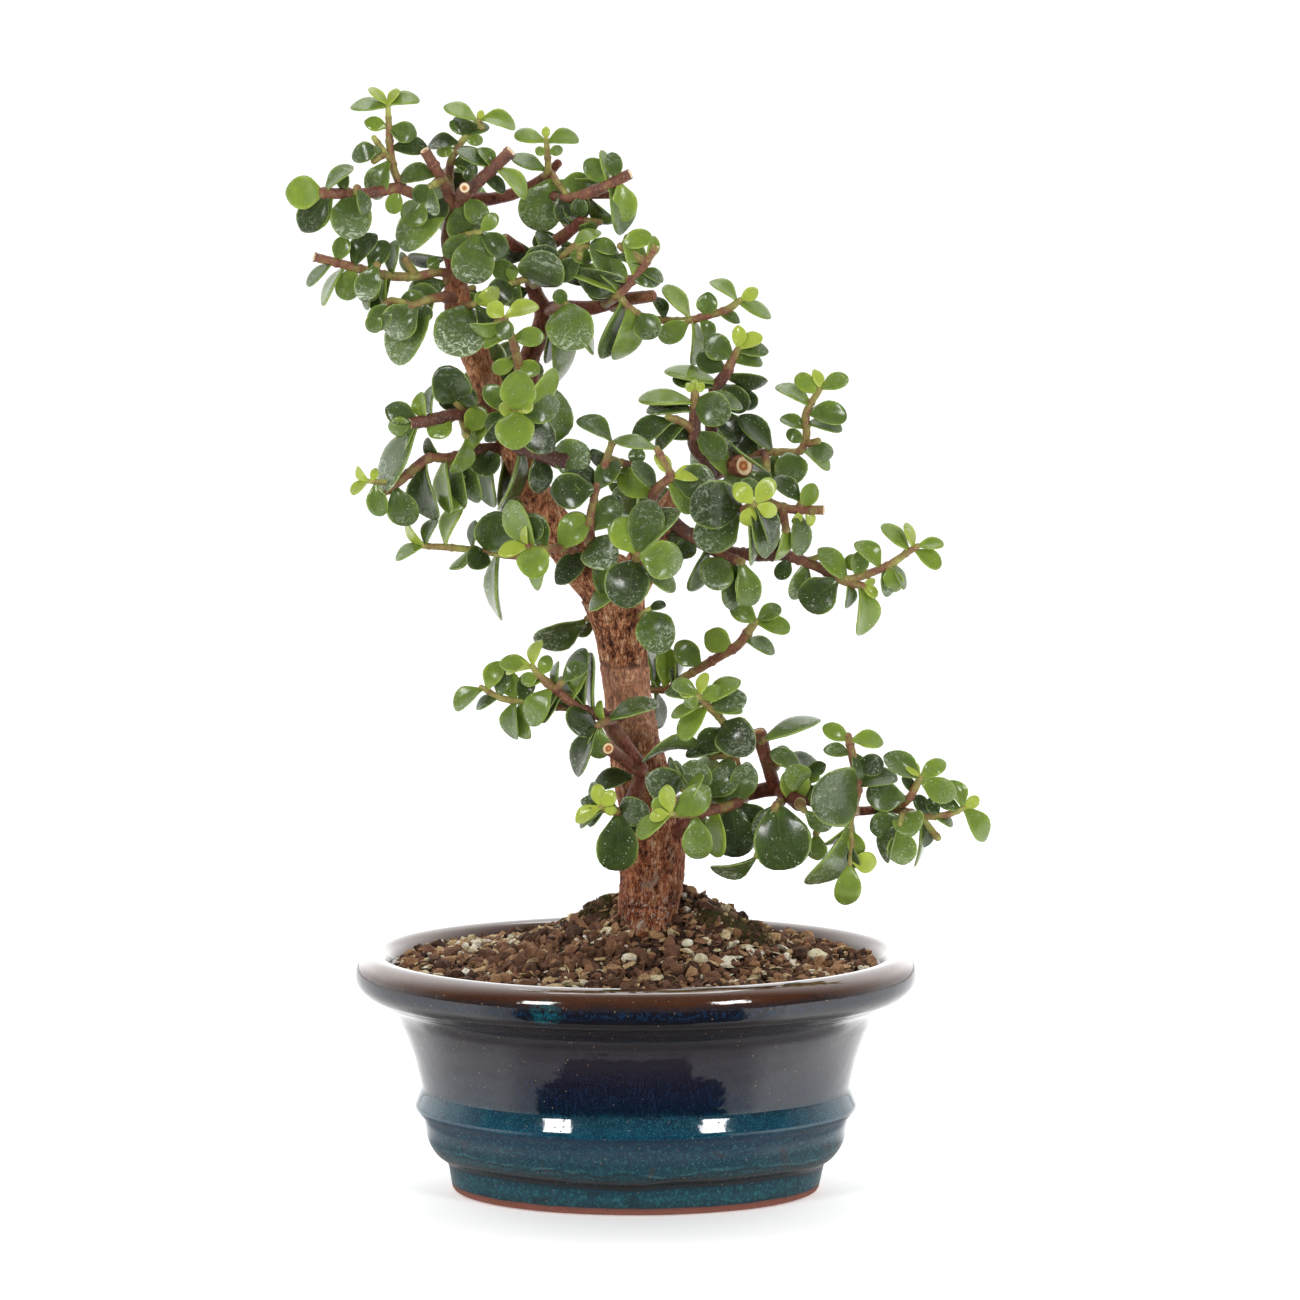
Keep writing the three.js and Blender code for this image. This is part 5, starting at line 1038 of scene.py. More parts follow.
def pot_floor():
    """The pot's floor in two halves. Each is a slab whose section is carried round its drain hole, out
    along each direction as far as the foot ring or the middle of the pot."""
    surface = Surface()
    long, deep = FLOOR_REACH, half_depth(FLOOR_REACH)
    least = 1e-6
    turn = turns(FLOOR_AROUND)
    for side in (-1, 1):
        x, y = side * np.cos(turn), side * np.sin(turn)
        centre = side * DRAIN_OFFSET
        p = (x / long) ** 2 + (y / deep) ** 2
        q = 2 * centre * x / long**2
        to_ring = (-q + np.sqrt(q * q - 4 * p * ((centre / long) ** 2 - 1))) / (2 * p)
        inward = -side * x
        to_middle = np.where(inward > least, DRAIN_OFFSET / np.maximum(inward, least), np.inf)
        out = np.minimum(to_ring, to_middle)
        hole = np.full_like(out, DRAIN_HOLE / 2)
        rows = [(hole + 0.4, FOOT_RECESS), (0.5 * (hole + out), FOOT_RECESS), (out, FOOT_RECESS),
                (out, FLOOR_TOP), (0.5 * (hole + out), FLOOR_TOP), (hole + 0.4, FLOOR_TOP),
                (hole, FLOOR_TOP - 0.5), (hole, FOOT_RECESS + 0.5)]
        points = np.stack([np.stack([centre + d * x, d * y, np.full_like(d, z)], -1) for d, z in rows])
        surface.add(points, loop_skin(len(rows), len(turn)))
    return surface


# Soil, moss and stones

# How far the soil and its grains reach, how deep its surface sinks below the mound's shape, and its side
# inside the pot as a profile (r, z)
SOIL_REACH = 85.4
GRAIN_REACH = 84.6
SOIL_SINK = 0.7
SOIL_BOTTOM = 12.2
SOIL_INSIDE = [(85.2, 78.5), (80, 62), (74.4, 46), (70.8, 28), (67.3, 15.4), (60, 12.4), (2, SOIL_BOTTOM)]


def soil_height(x, y):
    """The height of the soil: a mound round the trunk on a level edge, with low bumps."""
    dx = (x - MOUND_CENTRE[0]) / MOUND_REACH[0]
    dy = (y - MOUND_CENTRE[1]) / MOUND_REACH[1]
    bumps = 0.9 * np.sin(0.21 * x + 1.3) * np.cos(0.26 * y - 0.4)
    return SOIL_EDGE + MOUND_HEIGHT * np.exp(-dx * dx - dy * dy) + bumps


def soil_body():
    """The soil: its top follows soil_height with crumbly noise; its side goes down inside the pot."""
    top_r = np.concatenate([[0.4], np.linspace(1.2, SOIL_REACH, 150)])
    inside = np.array(SOIL_INSIDE)
    turn = turns(300)
    r = np.concatenate([top_r, inside[:, 0] - 0.5])[:, None]
    x, y = r * np.cos(turn), half_depth(r) * np.sin(turn)
    z = soil_height(x, y)
    flat = np.stack([x, y, 0 * x], -1)
    crumble = 1.2 * noise(flat, 7, 21) + 0.8 * noise(flat, 2.6, 22) + 0.5 * noise(flat, 1.2, 23)
    z = z - SOIL_SINK + crumble
    z[len(top_r):] = inside[:, 1, None]
    top = [0, 0, soil_height(0.0, 0.0) - SOIL_SINK]
    surface = Surface()
    surface.add(closed(np.stack([x, y, z], -1), top, [0, 0, SOIL_BOTTOM]), skin(len(r), turn.size)[:, ::-1])
    return surface


def rounded_stone():
    """A twenty-faced stone of radius one: its corners and its triangles, facing outwards."""
    g = (1 + math.sqrt(5)) / 2
    corners = unit(np.array([(-1, g, 0), (1, g, 0), (-1, -g, 0), (1, -g, 0), (0, -1, g), (0, 1, g),
                             (0, -1, -g), (0, 1, -g), (g, 0, -1), (g, 0, 1), (-g, 0, -1), (-g, 0, 1)]))
    faces = np.array([(0, 11, 5), (0, 5, 1), (0, 1, 7), (0, 7, 10), (0, 10, 11), (1, 5, 9), (5, 11, 4),
                      (11, 10, 2), (10, 7, 6), (7, 1, 8), (3, 9, 4), (3, 4, 2), (3, 2, 6), (3, 6, 8),
                      (3, 8, 9), (4, 9, 5), (2, 4, 11), (6, 2, 10), (8, 6, 7), (9, 8, 1)])
    return corners, faces


def turned_about(luck):
    """One turn in space for each row of three numbers from 0 to 1."""
    def turn(angle, first, second):
        """Turns in the plane of two axes."""
        made = np.tile(np.eye(3), (len(angle), 1, 1))
        made[:, first, first] = made[:, second, second] = np.cos(angle)
        made[:, first, second] = -np.sin(angle)
        made[:, second, first] = np.sin(angle)
        return made
    a, b, c = (luck * 2 * np.pi).T
    return turn(a, 0, 1) @ turn(b, 1, 2) @ turn(c, 0, 1)


def soil_grains(count, seed, smallest, spread, tones, patch=None, flatness=1.0, tilt=1.0):
    """Grains strewn over the soil, or over an oval patch of it (middle, half length, half width, lift):
    each is a rounded stone, knocked out of round, flattened and turned."""
    corners, faces = rounded_stone()
    luck = scatter(seed, count, 12)
    turn, reach = luck[:, 0] * 2 * np.pi, np.sqrt(luck[:, 1])
    if patch:
        (x, y), half_length, half_width, lift = patch
        x, y = x + half_length * reach * np.cos(turn), y + half_width * reach * np.sin(turn)
    else:
        lift = 0
        x, y = GRAIN_REACH * reach * np.cos(turn), half_depth(GRAIN_REACH * reach) * np.sin(turn)
    size = smallest + spread * luck[:, 2] ** 2.2
    knocks = 0.65 + 0.6 * scatter(seed + 1, count, len(corners))
    shape = corners * knocks[..., None] * (size[:, None] * (0.65 + 0.35 * luck[:, 3:6]))[:, None]
    shape = (shape * [1, 1, flatness]) @ turned_about(luck[:, 6:9] * [1, tilt, 1])
    middle = np.stack([x, y, soil_height(x, y) - 0.3 + 0.35 * size + lift * (1 - reach**2)], -1)
    points = (shape + middle[:, None]).reshape(-1, 3)
    triangles = (faces + len(corners) * np.arange(count)[:, None, None]).reshape(-1, 3)
    low, high = tones
    tone = np.repeat(low + (high - low) * luck[:, 9], len(corners))
    surface = Surface()
    surface.add(points, triangles, tone=tone)
    return surface


def rootlets(count, seed):
    """Dry rootlets on the soil: thin threads that wander by two sines and thin to their ends."""
    luck = scatter(seed, count, 8)
    surface = Surface()
    rings, around = 14, 5
    s = np.linspace(0, 1, rings)
    for row in luck:
        heading = row[0] * 2 * np.pi
        reach = math.sqrt(row[1]) * 78
        turn = row[3] * 2 * np.pi
        length = 5 + 14 * row[2]
        sway = length * 0.16 * np.sin(3 + 5 * row[4] * s * 2) * (1 if row[5] > 0.5 else -1)
        c, d = math.cos(heading), math.sin(heading)
        x = reach * math.cos(turn) + length * s * c - sway * d
        y = reach * 0.75 * math.sin(turn) + length * s * d + sway * c
        z = soil_height(x, y) + 0.8 + 0.5 * np.sin(s * 7 + row[6] * 6)
        radius = (0.16 + 0.16 * row[7]) * (1 - 0.6 * s)
        line = np.stack([x, y, z], -1)
        _, side, across = carried_frames(line)
        points = line[:, None] + spokes(side, across, around) * radius[:, None, None]
        surface.add(closed(points, line[0], line[-1]), skin(rings, around), tone=row[6])
    return surface


def moss_pad(middle, half_length, half_width, height, seed):
    """A cushion of moss: a low lumpy dome, covered with short blades that are three-sided points leaning
    every way."""
    def spot(way, turn):
        """The point (x, y) at a share of the way out to the ragged edge."""
        ragged = 1 + 0.16 * np.sin(3 * turn + seed) + 0.1 * np.sin(7 * turn + 2 * seed)
        x = middle[0] + half_length * way * ragged * np.cos(turn)
        y = middle[1] + half_width * way * ragged * np.sin(turn)
        return x, y
    surface = Surface()
    way = np.linspace(0.02, 1, 26)[:, None]
    turn = turns(60)
    x, y = spot(way, turn)
    flat = np.stack([x, y, 0 * x], -1)
    dome = np.sqrt(np.maximum(1 - way**2, 0))
    z = soil_height(x, y) - 1.2 * (1 - dome) + height * dome * (0.85 + 0.3 * noise(flat, 3, seed))
    centre = np.array([middle[0], middle[1], z[0].mean()])
    foot = centre - [0, 0, 3 + height]
    triangles = skin(len(way), len(turn))[:, ::-1]
    surface.add(closed(np.stack([x, y, z], -1), centre, foot), triangles, tone=0.3)
    count = int(14 * half_length * half_width)
    luck = scatter(seed, count, 7)
    reach = np.sqrt(luck[:, 1]) * 1.02
    x, y = spot(reach, luck[:, 0] * 2 * np.pi)
    dome = np.sqrt(np.maximum(1 - reach**2, 0))
    z = soil_height(x, y) - 0.6 + height * 0.9 * dome
    length = 1.1 + 3.0 * luck[:, 2] ** 2
    lean = 1.6 * (luck[:, 3:5] - 0.5) * 2
    root = np.stack([x, y, z], -1)
    tip = root + length[:, None] * unit(np.column_stack([lean, np.full(count, 0.8)]))
    corner = luck[:, 5, None] * 2 * np.pi + turns(3)
    foot = root[:, None] + 0.15 * np.stack([np.cos(corner), np.sin(corner), 0 * corner], -1)
    points = np.concatenate([foot, tip[:, None]], axis=1).reshape(-1, 3)
    blade = np.array([(0, 1, 3), (1, 2, 3), (2, 0, 3), (0, 2, 1)])
    triangles = (blade + 4 * np.arange(count)[:, None, None]).reshape(-1, 3)
    surface.add(points, triangles, tone=np.repeat(luck[:, 6], 4))
    return surface


def on_soil(u, v):
    """The point where the line of sight at (u, v) meets the soil, found by halving."""
    near, far = -90.0, 90.0
    for _ in range(40):
        depth = (near + far) / 2
        x, y, z = seen(u, v, depth)
        near, far = (depth, far) if z > soil_height(x, y) else (near, depth)
    return seen(u, v, (near + far) / 2)


def pumice_stone(u, v, width, turn, seed):
    """A pumice grain: a flattened ball, dented by noise and pitted by small round pores."""
    size = width * UNIT
    rings, around = 40, 64
    a = np.linspace(0, np.pi, rings + 2)[1:-1, None]
    b = turns(around)
    ball = np.stack([np.sin(a) * np.cos(b), np.sin(a) * np.sin(b), np.cos(a) + 0 * b], -1)
    ball = closed(ball, [0, 0, 1], [0, 0, -1])
    pores = eased(noise(ball, 0.16, seed), 0.3, 0.7) * 0.07
    swell = 0.5 * (1 + 0.22 * noise(ball, 0.9, seed + 1) + 0.08 * noise(ball, 0.35, seed + 2) - pores)
    shape = ball * swell[:, None] * [1, 0.78, 0.64] * size
    c, s = math.cos(turn), math.sin(turn)
    shape = shape @ np.array([[c, s, 0], [-s, c, 0], [0, 0, 1]])
    x, y, _ = on_soil(u, v)
    surface = Surface()
    surface.add(shape + [x, y, soil_height(x, y) + 0.24 * size], skin(rings, around)[:, ::-1])
    return surface


# Shader helpers


def colour(code):
    """A colour written as six hex digits, as the shader's linear numbers."""
    parts = [int(code[i:i + 2], 16) / 255 for i in (0, 2, 4)]
    return [p / 12.92 if p <= 0.04045 else ((p + 0.055) / 1.055) ** 2.4 for p in parts] + [1]


class Value:
    """What a node tree works out at a socket. Its operators add Math nodes."""

    def __init__(self, tree, socket):
        self.tree, self.socket = tree, socket

    def worked(self, operation, *parts):
        """The outcome of a Math node's operation on its parts."""
        return self.tree.node("ShaderNodeMath", {"operation": operation}, dict(enumerate(parts)))

    def __add__(self, other):
        return self.worked("ADD", self, other)

    def __radd__(self, other):
        return self.worked("ADD", other, self)

    def __sub__(self, other):
        return self.worked("SUBTRACT", self, other)

    def __rsub__(self, other):
        return self.worked("SUBTRACT", other, self)

    def __mul__(self, other):
        return self.worked("MULTIPLY", self, other)

    def __rmul__(self, other):
        return self.worked("MULTIPLY", other, self)

    def __truediv__(self, other):
        return self.worked("DIVIDE", self, other)

    def size(self):
        """How far it is from 0."""
        return self.worked("ABSOLUTE", self)

    def between(self, low, high):
        """0 at low and 1 at high, eased."""
        return self.tree.node("ShaderNodeMapRange", {"interpolation_type": "SMOOTHSTEP"},
                              {"Value": self, "From Min": low, "From Max": high})

    def near(self, middle, reach):
        """1 at middle, falling to 0 at reach from it."""
        return 1 - (self - middle).size().between(0, reach)


class Tree:
    """The nodes of a material or a world."""

    def __init__(self, owner):
        owner.use_nodes = True
        self.nodes, self.links = owner.node_tree.nodes, owner.node_tree.links

    def node(self, kind, settings, sockets, output=0):
        """A node of a kind with its settings, then the values or links of its sockets; returns the
        value at one of its outputs."""
        made = self.nodes.new(kind)
        for key, value in settings.items():
            if key == "stops":
                self.set_stops(made.color_ramp, value)
            else:
                setattr(made, key, value)
        for key, value in sockets.items():
            if isinstance(value, Value):
                self.links.new(value.socket, made.inputs[key])
            else:
                made.inputs[key].default_value = value
        return Value(self, made.outputs[output])

    @staticmethod
    def set_stops(ramp, stops):
        """Gives a colour ramp its stops, (position, colour code) each."""
        while len(ramp.elements) < len(stops):
            ramp.elements.new(1)
        for element, (position, code) in zip(ramp.elements, stops):
            element.position = position
            element.color = colour(code)


class Paint(Tree):
    """The nodes of one material with a principled shader."""

    def __init__(self, name, **constants):
        self.material = bpy.data.materials.new(name)
        super().__init__(self.material)
        self.shader = self.nodes["Principled BSDF"]
        for key, value in constants.items():
            self.shader.inputs[key.replace("_", " ")].default_value = value

    def place(self, stretch=(1, 1, 1)):
        """Object coordinates in mm, stretched along each axis."""
        at = self.node("ShaderNodeTexCoord", {}, {}, "Object")
        scale = [1 / METRES / s for s in stretch]
        return self.node("ShaderNodeMapping", {}, {"Vector": at, "Scale": scale})

    def along(self, axis):
        """The distance along an axis in mm. Along Z it is the height above the pot's underside."""
        return self.node("ShaderNodeSeparateXYZ", {}, {0: self.place()}, axis)

    def mark(self, name, part="Fac"):
        """One part of a four-number attribute, or a one-number attribute where no part is named."""
        if part in ("Fac", "Alpha"):
            return self.node("ShaderNodeAttribute", {"attribute_name": name}, {}, part)
        whole = self.node("ShaderNodeAttribute", {"attribute_name": name}, {}, "Color")
        return self.node("ShaderNodeSeparateColor", {}, {0: whole}, part)

    def cloud(self, cell, detail=2, stretch=(1, 1, 1), rough=0.5, warp=0.0):
        """Soft noise from 0 to 1 with features about cell mm wide."""
        return self.node("ShaderNodeTexNoise", {}, {
            "Vector": self.place(stretch), "Scale": 1 / cell, "Detail": detail, "Roughness": rough,
            "Distortion": warp})

    def dots(self, cell):
        """The distance to the nearest of many scattered points, in cells."""
        return self.node("ShaderNodeTexVoronoi", {}, {"Vector": self.place(), "Scale": 1 / cell}, "Distance")

    def over(self, base, *layers):
        """A colour with others laid over it in turn: (amount, colour), and a way of mixing or none."""
        for amount, code, *how in layers:
            settings = {"data_type": "RGBA", "blend_type": how[0] if how else "MIX", "clamp_factor": True}
            top = colour(code) if isinstance(code, str) else code
            base = self.node("ShaderNodeMix", settings, {0: amount, 6: base, 7: top}, 2)
        return base

    def ramp(self, value, *stops):
        """The colour at value on a ramp of stops."""
        return self.node("ShaderNodeValToRGB", {"stops": stops}, {0: value})

    def feed(self, socket, value):
        """Links a value to one of the shader's sockets."""
        self.links.new(value.socket, self.shader.inputs[socket])

    def done(self, base, roughness, height, strength, distance):
        """Feeds what varies to the shader, with a height as bumps of a depth in mm, and returns the
        material."""
        self.feed("Base Color", base)
        self.feed("Roughness", roughness)
        self.feed("Normal", self.node("ShaderNodeBump", {}, {
            "Strength": strength, "Distance": distance * METRES, "Height": height}, "Normal"))
        return self.material


# Finishes


def leaf_finish():
    """A fleshy leaf: lime when young to deep green when old, fine pale dots, a pale rim, whitish bloom
    in brushed streaks towards the tip, a paler underside and a few corky specks."""
    p = Paint("leaf", IOR=1.43, Subsurface_Weight=0.1, Subsurface_Scale=0.002,
              Subsurface_Radius=(0.6, 1.0, 0.25))
    age, bloom, luck = (p.mark("leaf", part) for part in ("Red", "Green", "Blue"))
    along, across, upper = (p.mark("spot", part) for part in ("Red", "Green", "Blue"))
    patches = p.cloud(3.4, 3)
    fine = p.cloud(0.8, 4, rough=0.65)
    paler = along.between(0.4, 0) * 0.12 + across.size().between(0.5, 1) * 0.16
    tone = age + (patches - 0.5) * 0.34 + (luck - 0.5) * 0.2 - paler + 0.05
    base = p.ramp(tone, (0, "9aa83e"), (0.3, "708630"), (0.5, "5d722d"), (0.64, "4c5f29"), (0.8, "394921"),
                  (1, "262f18"))
    under = upper.between(0.1, -0.25)
    dots = p.dots(0.6).between(0.28, 0.1)
    pale_dots = dots * p.cloud(2.2).between(0.38, 0.62)
    rim = upper.size().between(0.4, 0.08)
    vein = across.size().between(0.07, 0) * along.between(0.75, 0.1)
    streaks = p.cloud(0.5, 6, (1, 1, 1.8), 0.78, 1.2)
    smears = p.cloud(1.9, 5, (1.3, 1, 1), 0.68, 1.6)
    tip = along.between(0.4, 0.9) * across.size().between(1.15, 0.5)
    where = tip * 0.85 + patches.between(0.48, 0.66) * 0.45
    dust = where * (bloom + luck.between(0.4, 0.95) * 0.34)
    haze = dust * 0.09 + dust * smears.between(0.49, 0.62) * (streaks.between(0.36, 0.5) * 0.55 + 0.25)
    stray = streaks.between(0.55, 0.62) * patches.between(0.48, 0.6) * along.between(0.25, 0.8)
    chips = p.dots(1.4).between(0.2, 0.11) * p.cloud(4).between(0.5, 0.6)
    low_down = p.along("Z").between(350, 170)
    specks = p.dots(2.6).between(0.13, 0.08) * p.cloud(6).between(0.52, 0.6)
    base = p.over(
        base, (under * 0.4, "6a7d44"), (pale_dots * 0.4, "9aac6e"), (rim * 0.6, "95a852"),
        (vein * 0.16, "7f934e"), (haze, "bec9b0"), (stray * 0.45, "bcc8a8"),
        (chips * (low_down * 0.5 + 0.2), "d0dabc"), (specks * 0.7, "5d472e"))
    bumps = fine * 0.5 + dots * 0.35 + patches * 1.0 + p.cloud(1.5) * 0.6
    return p.done(base, 0.13 + fine * 0.12 + haze * 0.45, bumps, 0.3, 0.16)


def stem_finish():
    """A green stem: maroon brown where it is thick, olive to tan, then lime at its thin tips, with long
    pale streaks, corky dots and a dark line at each joint."""
    p = Paint("stem", IOR=1.45, Subsurface_Weight=0.05, Subsurface_Scale=0.001)
    thick, flat, crease, way = (p.mark("stem", part) for part in ("Red", "Green", "Blue", "Alpha"))
    patches = p.cloud(6, 3)
    fine = p.cloud(0.5, 3, (1, 1, 2.5))
    corky = p.dots(1.3)
    tone = thick + (patches - 0.5) * 0.9
    base = p.ramp(tone, (0.22, "9fa653"), (0.36, "87813f"), (0.48, "7d6a38"), (0.58, "7a4c35"),
                  (0.7, "63382c"), (0.9, "4b2c27"))
    wood = p.ramp(way, (0, "6d3a1c"), (0.35, "b4763f"), (0.5, "d9c39c"), (0.78, "e3d6b4"), (0.95, "6b4030"))
    base = p.over(
        base, (fine.between(0.5, 0.75) * 0.35, "ac8a5e"), (fine.between(0.45, 0.25) * 0.45, "41281f"),
        (corky.between(0.22, 0.1) * 0.5, "b99f7c"), (crease * 0.4, "4a2b20"), (flat, wood))
    return p.done(base, 0.42 + fine * 0.3, fine + corky.between(0.3, 0.1) * 0.6, 0.5, 0.2)


def bark_finish():
    """Old bark: dark fissures along the wood, rust brown flanks and tan flakes, pinker above the soil,
    with grey and pale streaks low down. Thin limbs are smooth maroon with long pale streaks, and a cut
    limb shows pale ringed wood with an orange heart."""
    p = Paint("bark", IOR=1.4, Specular_IOR_Level=0.25)
    relief, flat, way, thick = (p.mark("wood", part) for part in ("Red", "Green", "Blue", "Alpha"))
    fibres = p.cloud(0.5, 4, (1, 1, 3.6), 0.7)
    flakes = p.cloud(1.3, 4, (1, 1, 2.2), 0.65, 0.8)
    broad = p.cloud(9, 2)
    crumbs = p.cloud(0.35, 3)
    height = p.along("Z")
    upper = height.between(225, 270)
    level = relief * 0.3 + (fibres - 0.5) * 1.4 + (flakes - 0.5) * 1.8 + (broad - 0.5) * 0.4
    level = level * (1 - upper * 0.35) + upper * 0.05 + 0.46
    base = p.ramp(level, (0, "2e1a12"), (0.2, "653b27"), (0.4, "9c6042"), (0.6, "c08159"), (0.8, "d9a880"),
                  (1, "ead0b4"))
    fissures = p.cloud(1.7, 3, (1, 1, 3.0), 0.6, 0.5).near(0.5, 0.028)
    rosy = height.between(191, 187) * height.between(158, 168)
    grey = p.cloud(5, 3, (1, 1, 2)).between(0.56, 0.7) * level.between(0.2, 0.6) * height.between(190, 110)
    pale = p.cloud(1.3, 5, (1, 1, 1.5), 0.75).between(0.55, 0.62) * height.between(120, 94)
    green = p.cloud(4, 3).between(0.62, 0.75) * height.between(125, 100)
    young = thick.between(0.54, 0.28)
    smooth = p.ramp(fibres * 0.6 + flakes * 0.4, (0.3, "301915"), (0.47, "582d25"), (0.62, "7a4437"),
                    (0.8, "a07b68"))
    smooth = p.over(smooth, (broad.between(0.5, 0.66) * 0.45, "6b5a30"))
    wood = p.ramp(way + (flakes - 0.5) * 0.3, (0, "d09a66"), (0.2, "a8602f"), (0.4, "8a4526"),
                  (0.52, "d8b584"), (0.82, "e6d4ad"), (0.95, "6d432c"))
    base = p.over(
        base, (fissures * 0.8, "38221a"), (broad.between(0.55, 0.8) * 0.5, "8a7263", "MULTIPLY"),
        (height.between(165, 105) * 0.55, "bd8a72", "MULTIPLY"), (rosy * 0.3, "d9a488"),
        (grey * 0.5, "b9ab98"), (pale * 0.8, "e0d9cb"), (green * 0.3, "7c8a56"), (young * 0.9, smooth),
        (flat, wood))
    bumps = (fibres * 1.2 + flakes * 0.8 - fissures * 0.8 + crumbs * 0.4) * (1 - young * 0.82)
    return p.done(base, 0.85 - fibres * 0.12 - young * 0.33, bumps, 0.9, 0.7)


def glaze_finish():
    """The pot's glaze by the height on its profile: bare clay at the foot's edge, a mottled teal foot
    band, a dark line in the groove with a paler edge where the glaze ran, blue grey below and teal along
    the ledge with bright flecks, fading up the wall to brown black with fine blue specks and runs, and
    brown where it runs thin on the lip's crest."""
    p = Paint("glaze", IOR=1.55, Coat_Roughness=0.03, Coat_IOR=1.8)
    waver = (p.cloud(11, 3) - 0.5) * 5 + (p.cloud(3, 2) - 0.5) * 2
    rise = p.mark("rise")
    z = rise + waver * (rise.between(6, 25) * 0.4 + 0.15)
    clouds = p.cloud(7, 4, (1, 1, 0.6), 0.6)
    fine = p.cloud(0.5, 3)
    runs = p.cloud(0.8, 4, (1, 1, 8), 0.65)
    mottle = p.cloud(1.3, 4, rough=0.7)
    joined, low_span, high_span = 42, 45, 48
    stops = [
        (0, "94543f"), (2.3, "7a4232"), (2.9, "17333c"), (6, "1b4450"), (9, "14333f"), (10.4, "1d1a19"),
        (12.4, "2b1f1a"), (13.6, "1b2b30"), (16, "1b3d46"), (20, "1d3743"), (26, "203647"),
        (29.2, "12293c"), (31, "08374a"), (36, "07303f"), (38, "0a1927"), (42, "0f1828"), (49, "181823"),
        (56, "25222a"), (66, "231f23"), (72.5, "1c1716"), (74.8, "14141a"), (77.5, "12151f"),
        (79.5, "22191a"), (82, "40220f"), (85.2, "4d2a14"), (86.5, "1d171c"),
    ]
    low = p.ramp(z * (1 / low_span), *[(at / low_span, code) for at, code in stops if at <= joined])
    high = p.ramp((z - joined) * (1 / high_span),
                  *[((at - joined) / high_span, code) for at, code in stops if at >= joined])
    foot = rise.between(9.6, 8.4) * z.between(2.6, 3.4)
    band = rise.between(13, 16) * rise.between(30, 26)
    run_edge = rise + (p.cloud(20, 2) - 0.5) * 10
    ledge = (rise - 33.6).size().between(6, 2.5)
    groove = (rise - 19).size()
    flecks = p.dots(0.75).between(0.42, 0.12)
    drips = runs.between(0.48, 0.7) * (rise - 44).size().between(13, 3)
    specks = p.dots(0.8).between(0.3, 0.1) * clouds.between(0.35, 0.6) * rise.between(66, 50)
    blue = rise.near(77.4, 3.2) * mottle.between(0.46, 0.64)
    brown = clouds.between(0.56, 0.7) * groove.between(9, 2)
    teal_spot = p.node("ShaderNodeVectorMath", {"operation": "DISTANCE"},
                       {0: p.place((1, 1, 0.8)), 1: (-31, -76, 78 / 0.8)}, "Value").between(7.5, 3)
    base = p.over(
        low, (z.between(joined - 0.1, joined + 0.1), high),
        (foot * mottle.between(0.48, 0.66) * 0.6, "2f7276"),
        (foot * clouds.between(0.52, 0.66) * 0.6, "18242b"),
        (band * mottle.between(0.5, 0.68) * 0.4, "3f7479"),
        (run_edge.near(15.9, 0.9) * 0.5, "191512"),
        (run_edge.near(17.1, 0.7) * clouds.between(0.4, 0.6) * 0.5, "44777a"),
        (ledge * clouds.between(0.4, 0.7) * 0.4, "0f4c5c"),
        (flecks * (ledge * 0.4 + groove.between(11, 3) * 0.3), "3c8491"),
        (drips * 0.4, "1b304d"), (specks * 0.35, "3a4f7c"), (blue * 0.6, "1a3652"), (brown * 0.5, "40322b"),
        (teal_spot * mottle.between(0.38, 0.6) * 0.55, "125962"),
        (p.dots(1.6).between(0.22, 0.08) * 0.7, "06080f"), (p.dots(3.2).between(0.09, 0.05) * 0.7, "9a7f5c"))
    bare = z.between(2.9, 2.3)
    pits = p.dots(2.7).between(0.12, 0.05)
    p.feed("Coat Weight", rise.between(81, 84.5) * (1 - bare))
    bumps = p.cloud(6, 2) * 1.2 + fine * 0.05 - pits * 0.8 + bare * fine * 3
    return p.done(base, 0.05 + fine * 0.04 + bare * 0.65, bumps, 0.25, 0.35)


def clay_finish():
    """Bare clay under the pot."""
    p = Paint("clay")
    fine = p.cloud(0.8, 4)
    base = p.ramp(fine, (0.3, "6a3a28"), (0.6, "8d5740"), (0.8, "a3705a"))
    return p.done(base, 0.75 + fine * 0.2, fine, 0.4, 0.2)


def earth_finish():
    """Crumbly earth: brown clods with near-black patches, partly the earth's own tone and partly painted
    shade for the gaps between the grains, and pale specks.
    """
    p = Paint("earth", Specular_IOR_Level=0.2)
    fine = p.cloud(0.7, 5, rough=0.7)
    broad = p.cloud(6, 3)
    # The darkest stops are partly dark earth and partly painted shade for the gaps between the grains
    base = p.ramp(fine * 0.7 + broad * 0.3, (0.3, "150e0a"), (0.46, "33231a"), (0.6, "5c4234"),
                  (0.78, "927659"))
    base = p.over(base, (p.dots(1.9).between(0.18, 0.08) * 0.8, "cfc4a6"))
    return p.done(base, 0.85 + fine * 0.1, fine, 1.0, 0.8)


def grain_finish():
    """Grains of earth, lava, clay and pumice, each with its own tone and fine pores."""
    p = Paint("grain", Specular_IOR_Level=0.25)
    tone = p.mark("tone")
    fine = p.cloud(0.5, 3)
    base = p.ramp(tone, (0, "2d1e17"), (0.18, "523829"), (0.36, "7c5944"), (0.5, "96704f"), (0.62, "b08f68"),
                  (0.75, "bfa67a"), (0.88, "d2c7a3"), (1, "e4e0d0"))
    base = p.over(base, (p.cloud(2.4, 3).between(0.5, 0.62) * 0.4, "6d4a35"),
                  (fine.between(0.55, 0.35) * 0.5, "4a3628", "MULTIPLY"))
    return p.done(base, 0.8 + fine * 0.15, fine, 0.7, 0.4)


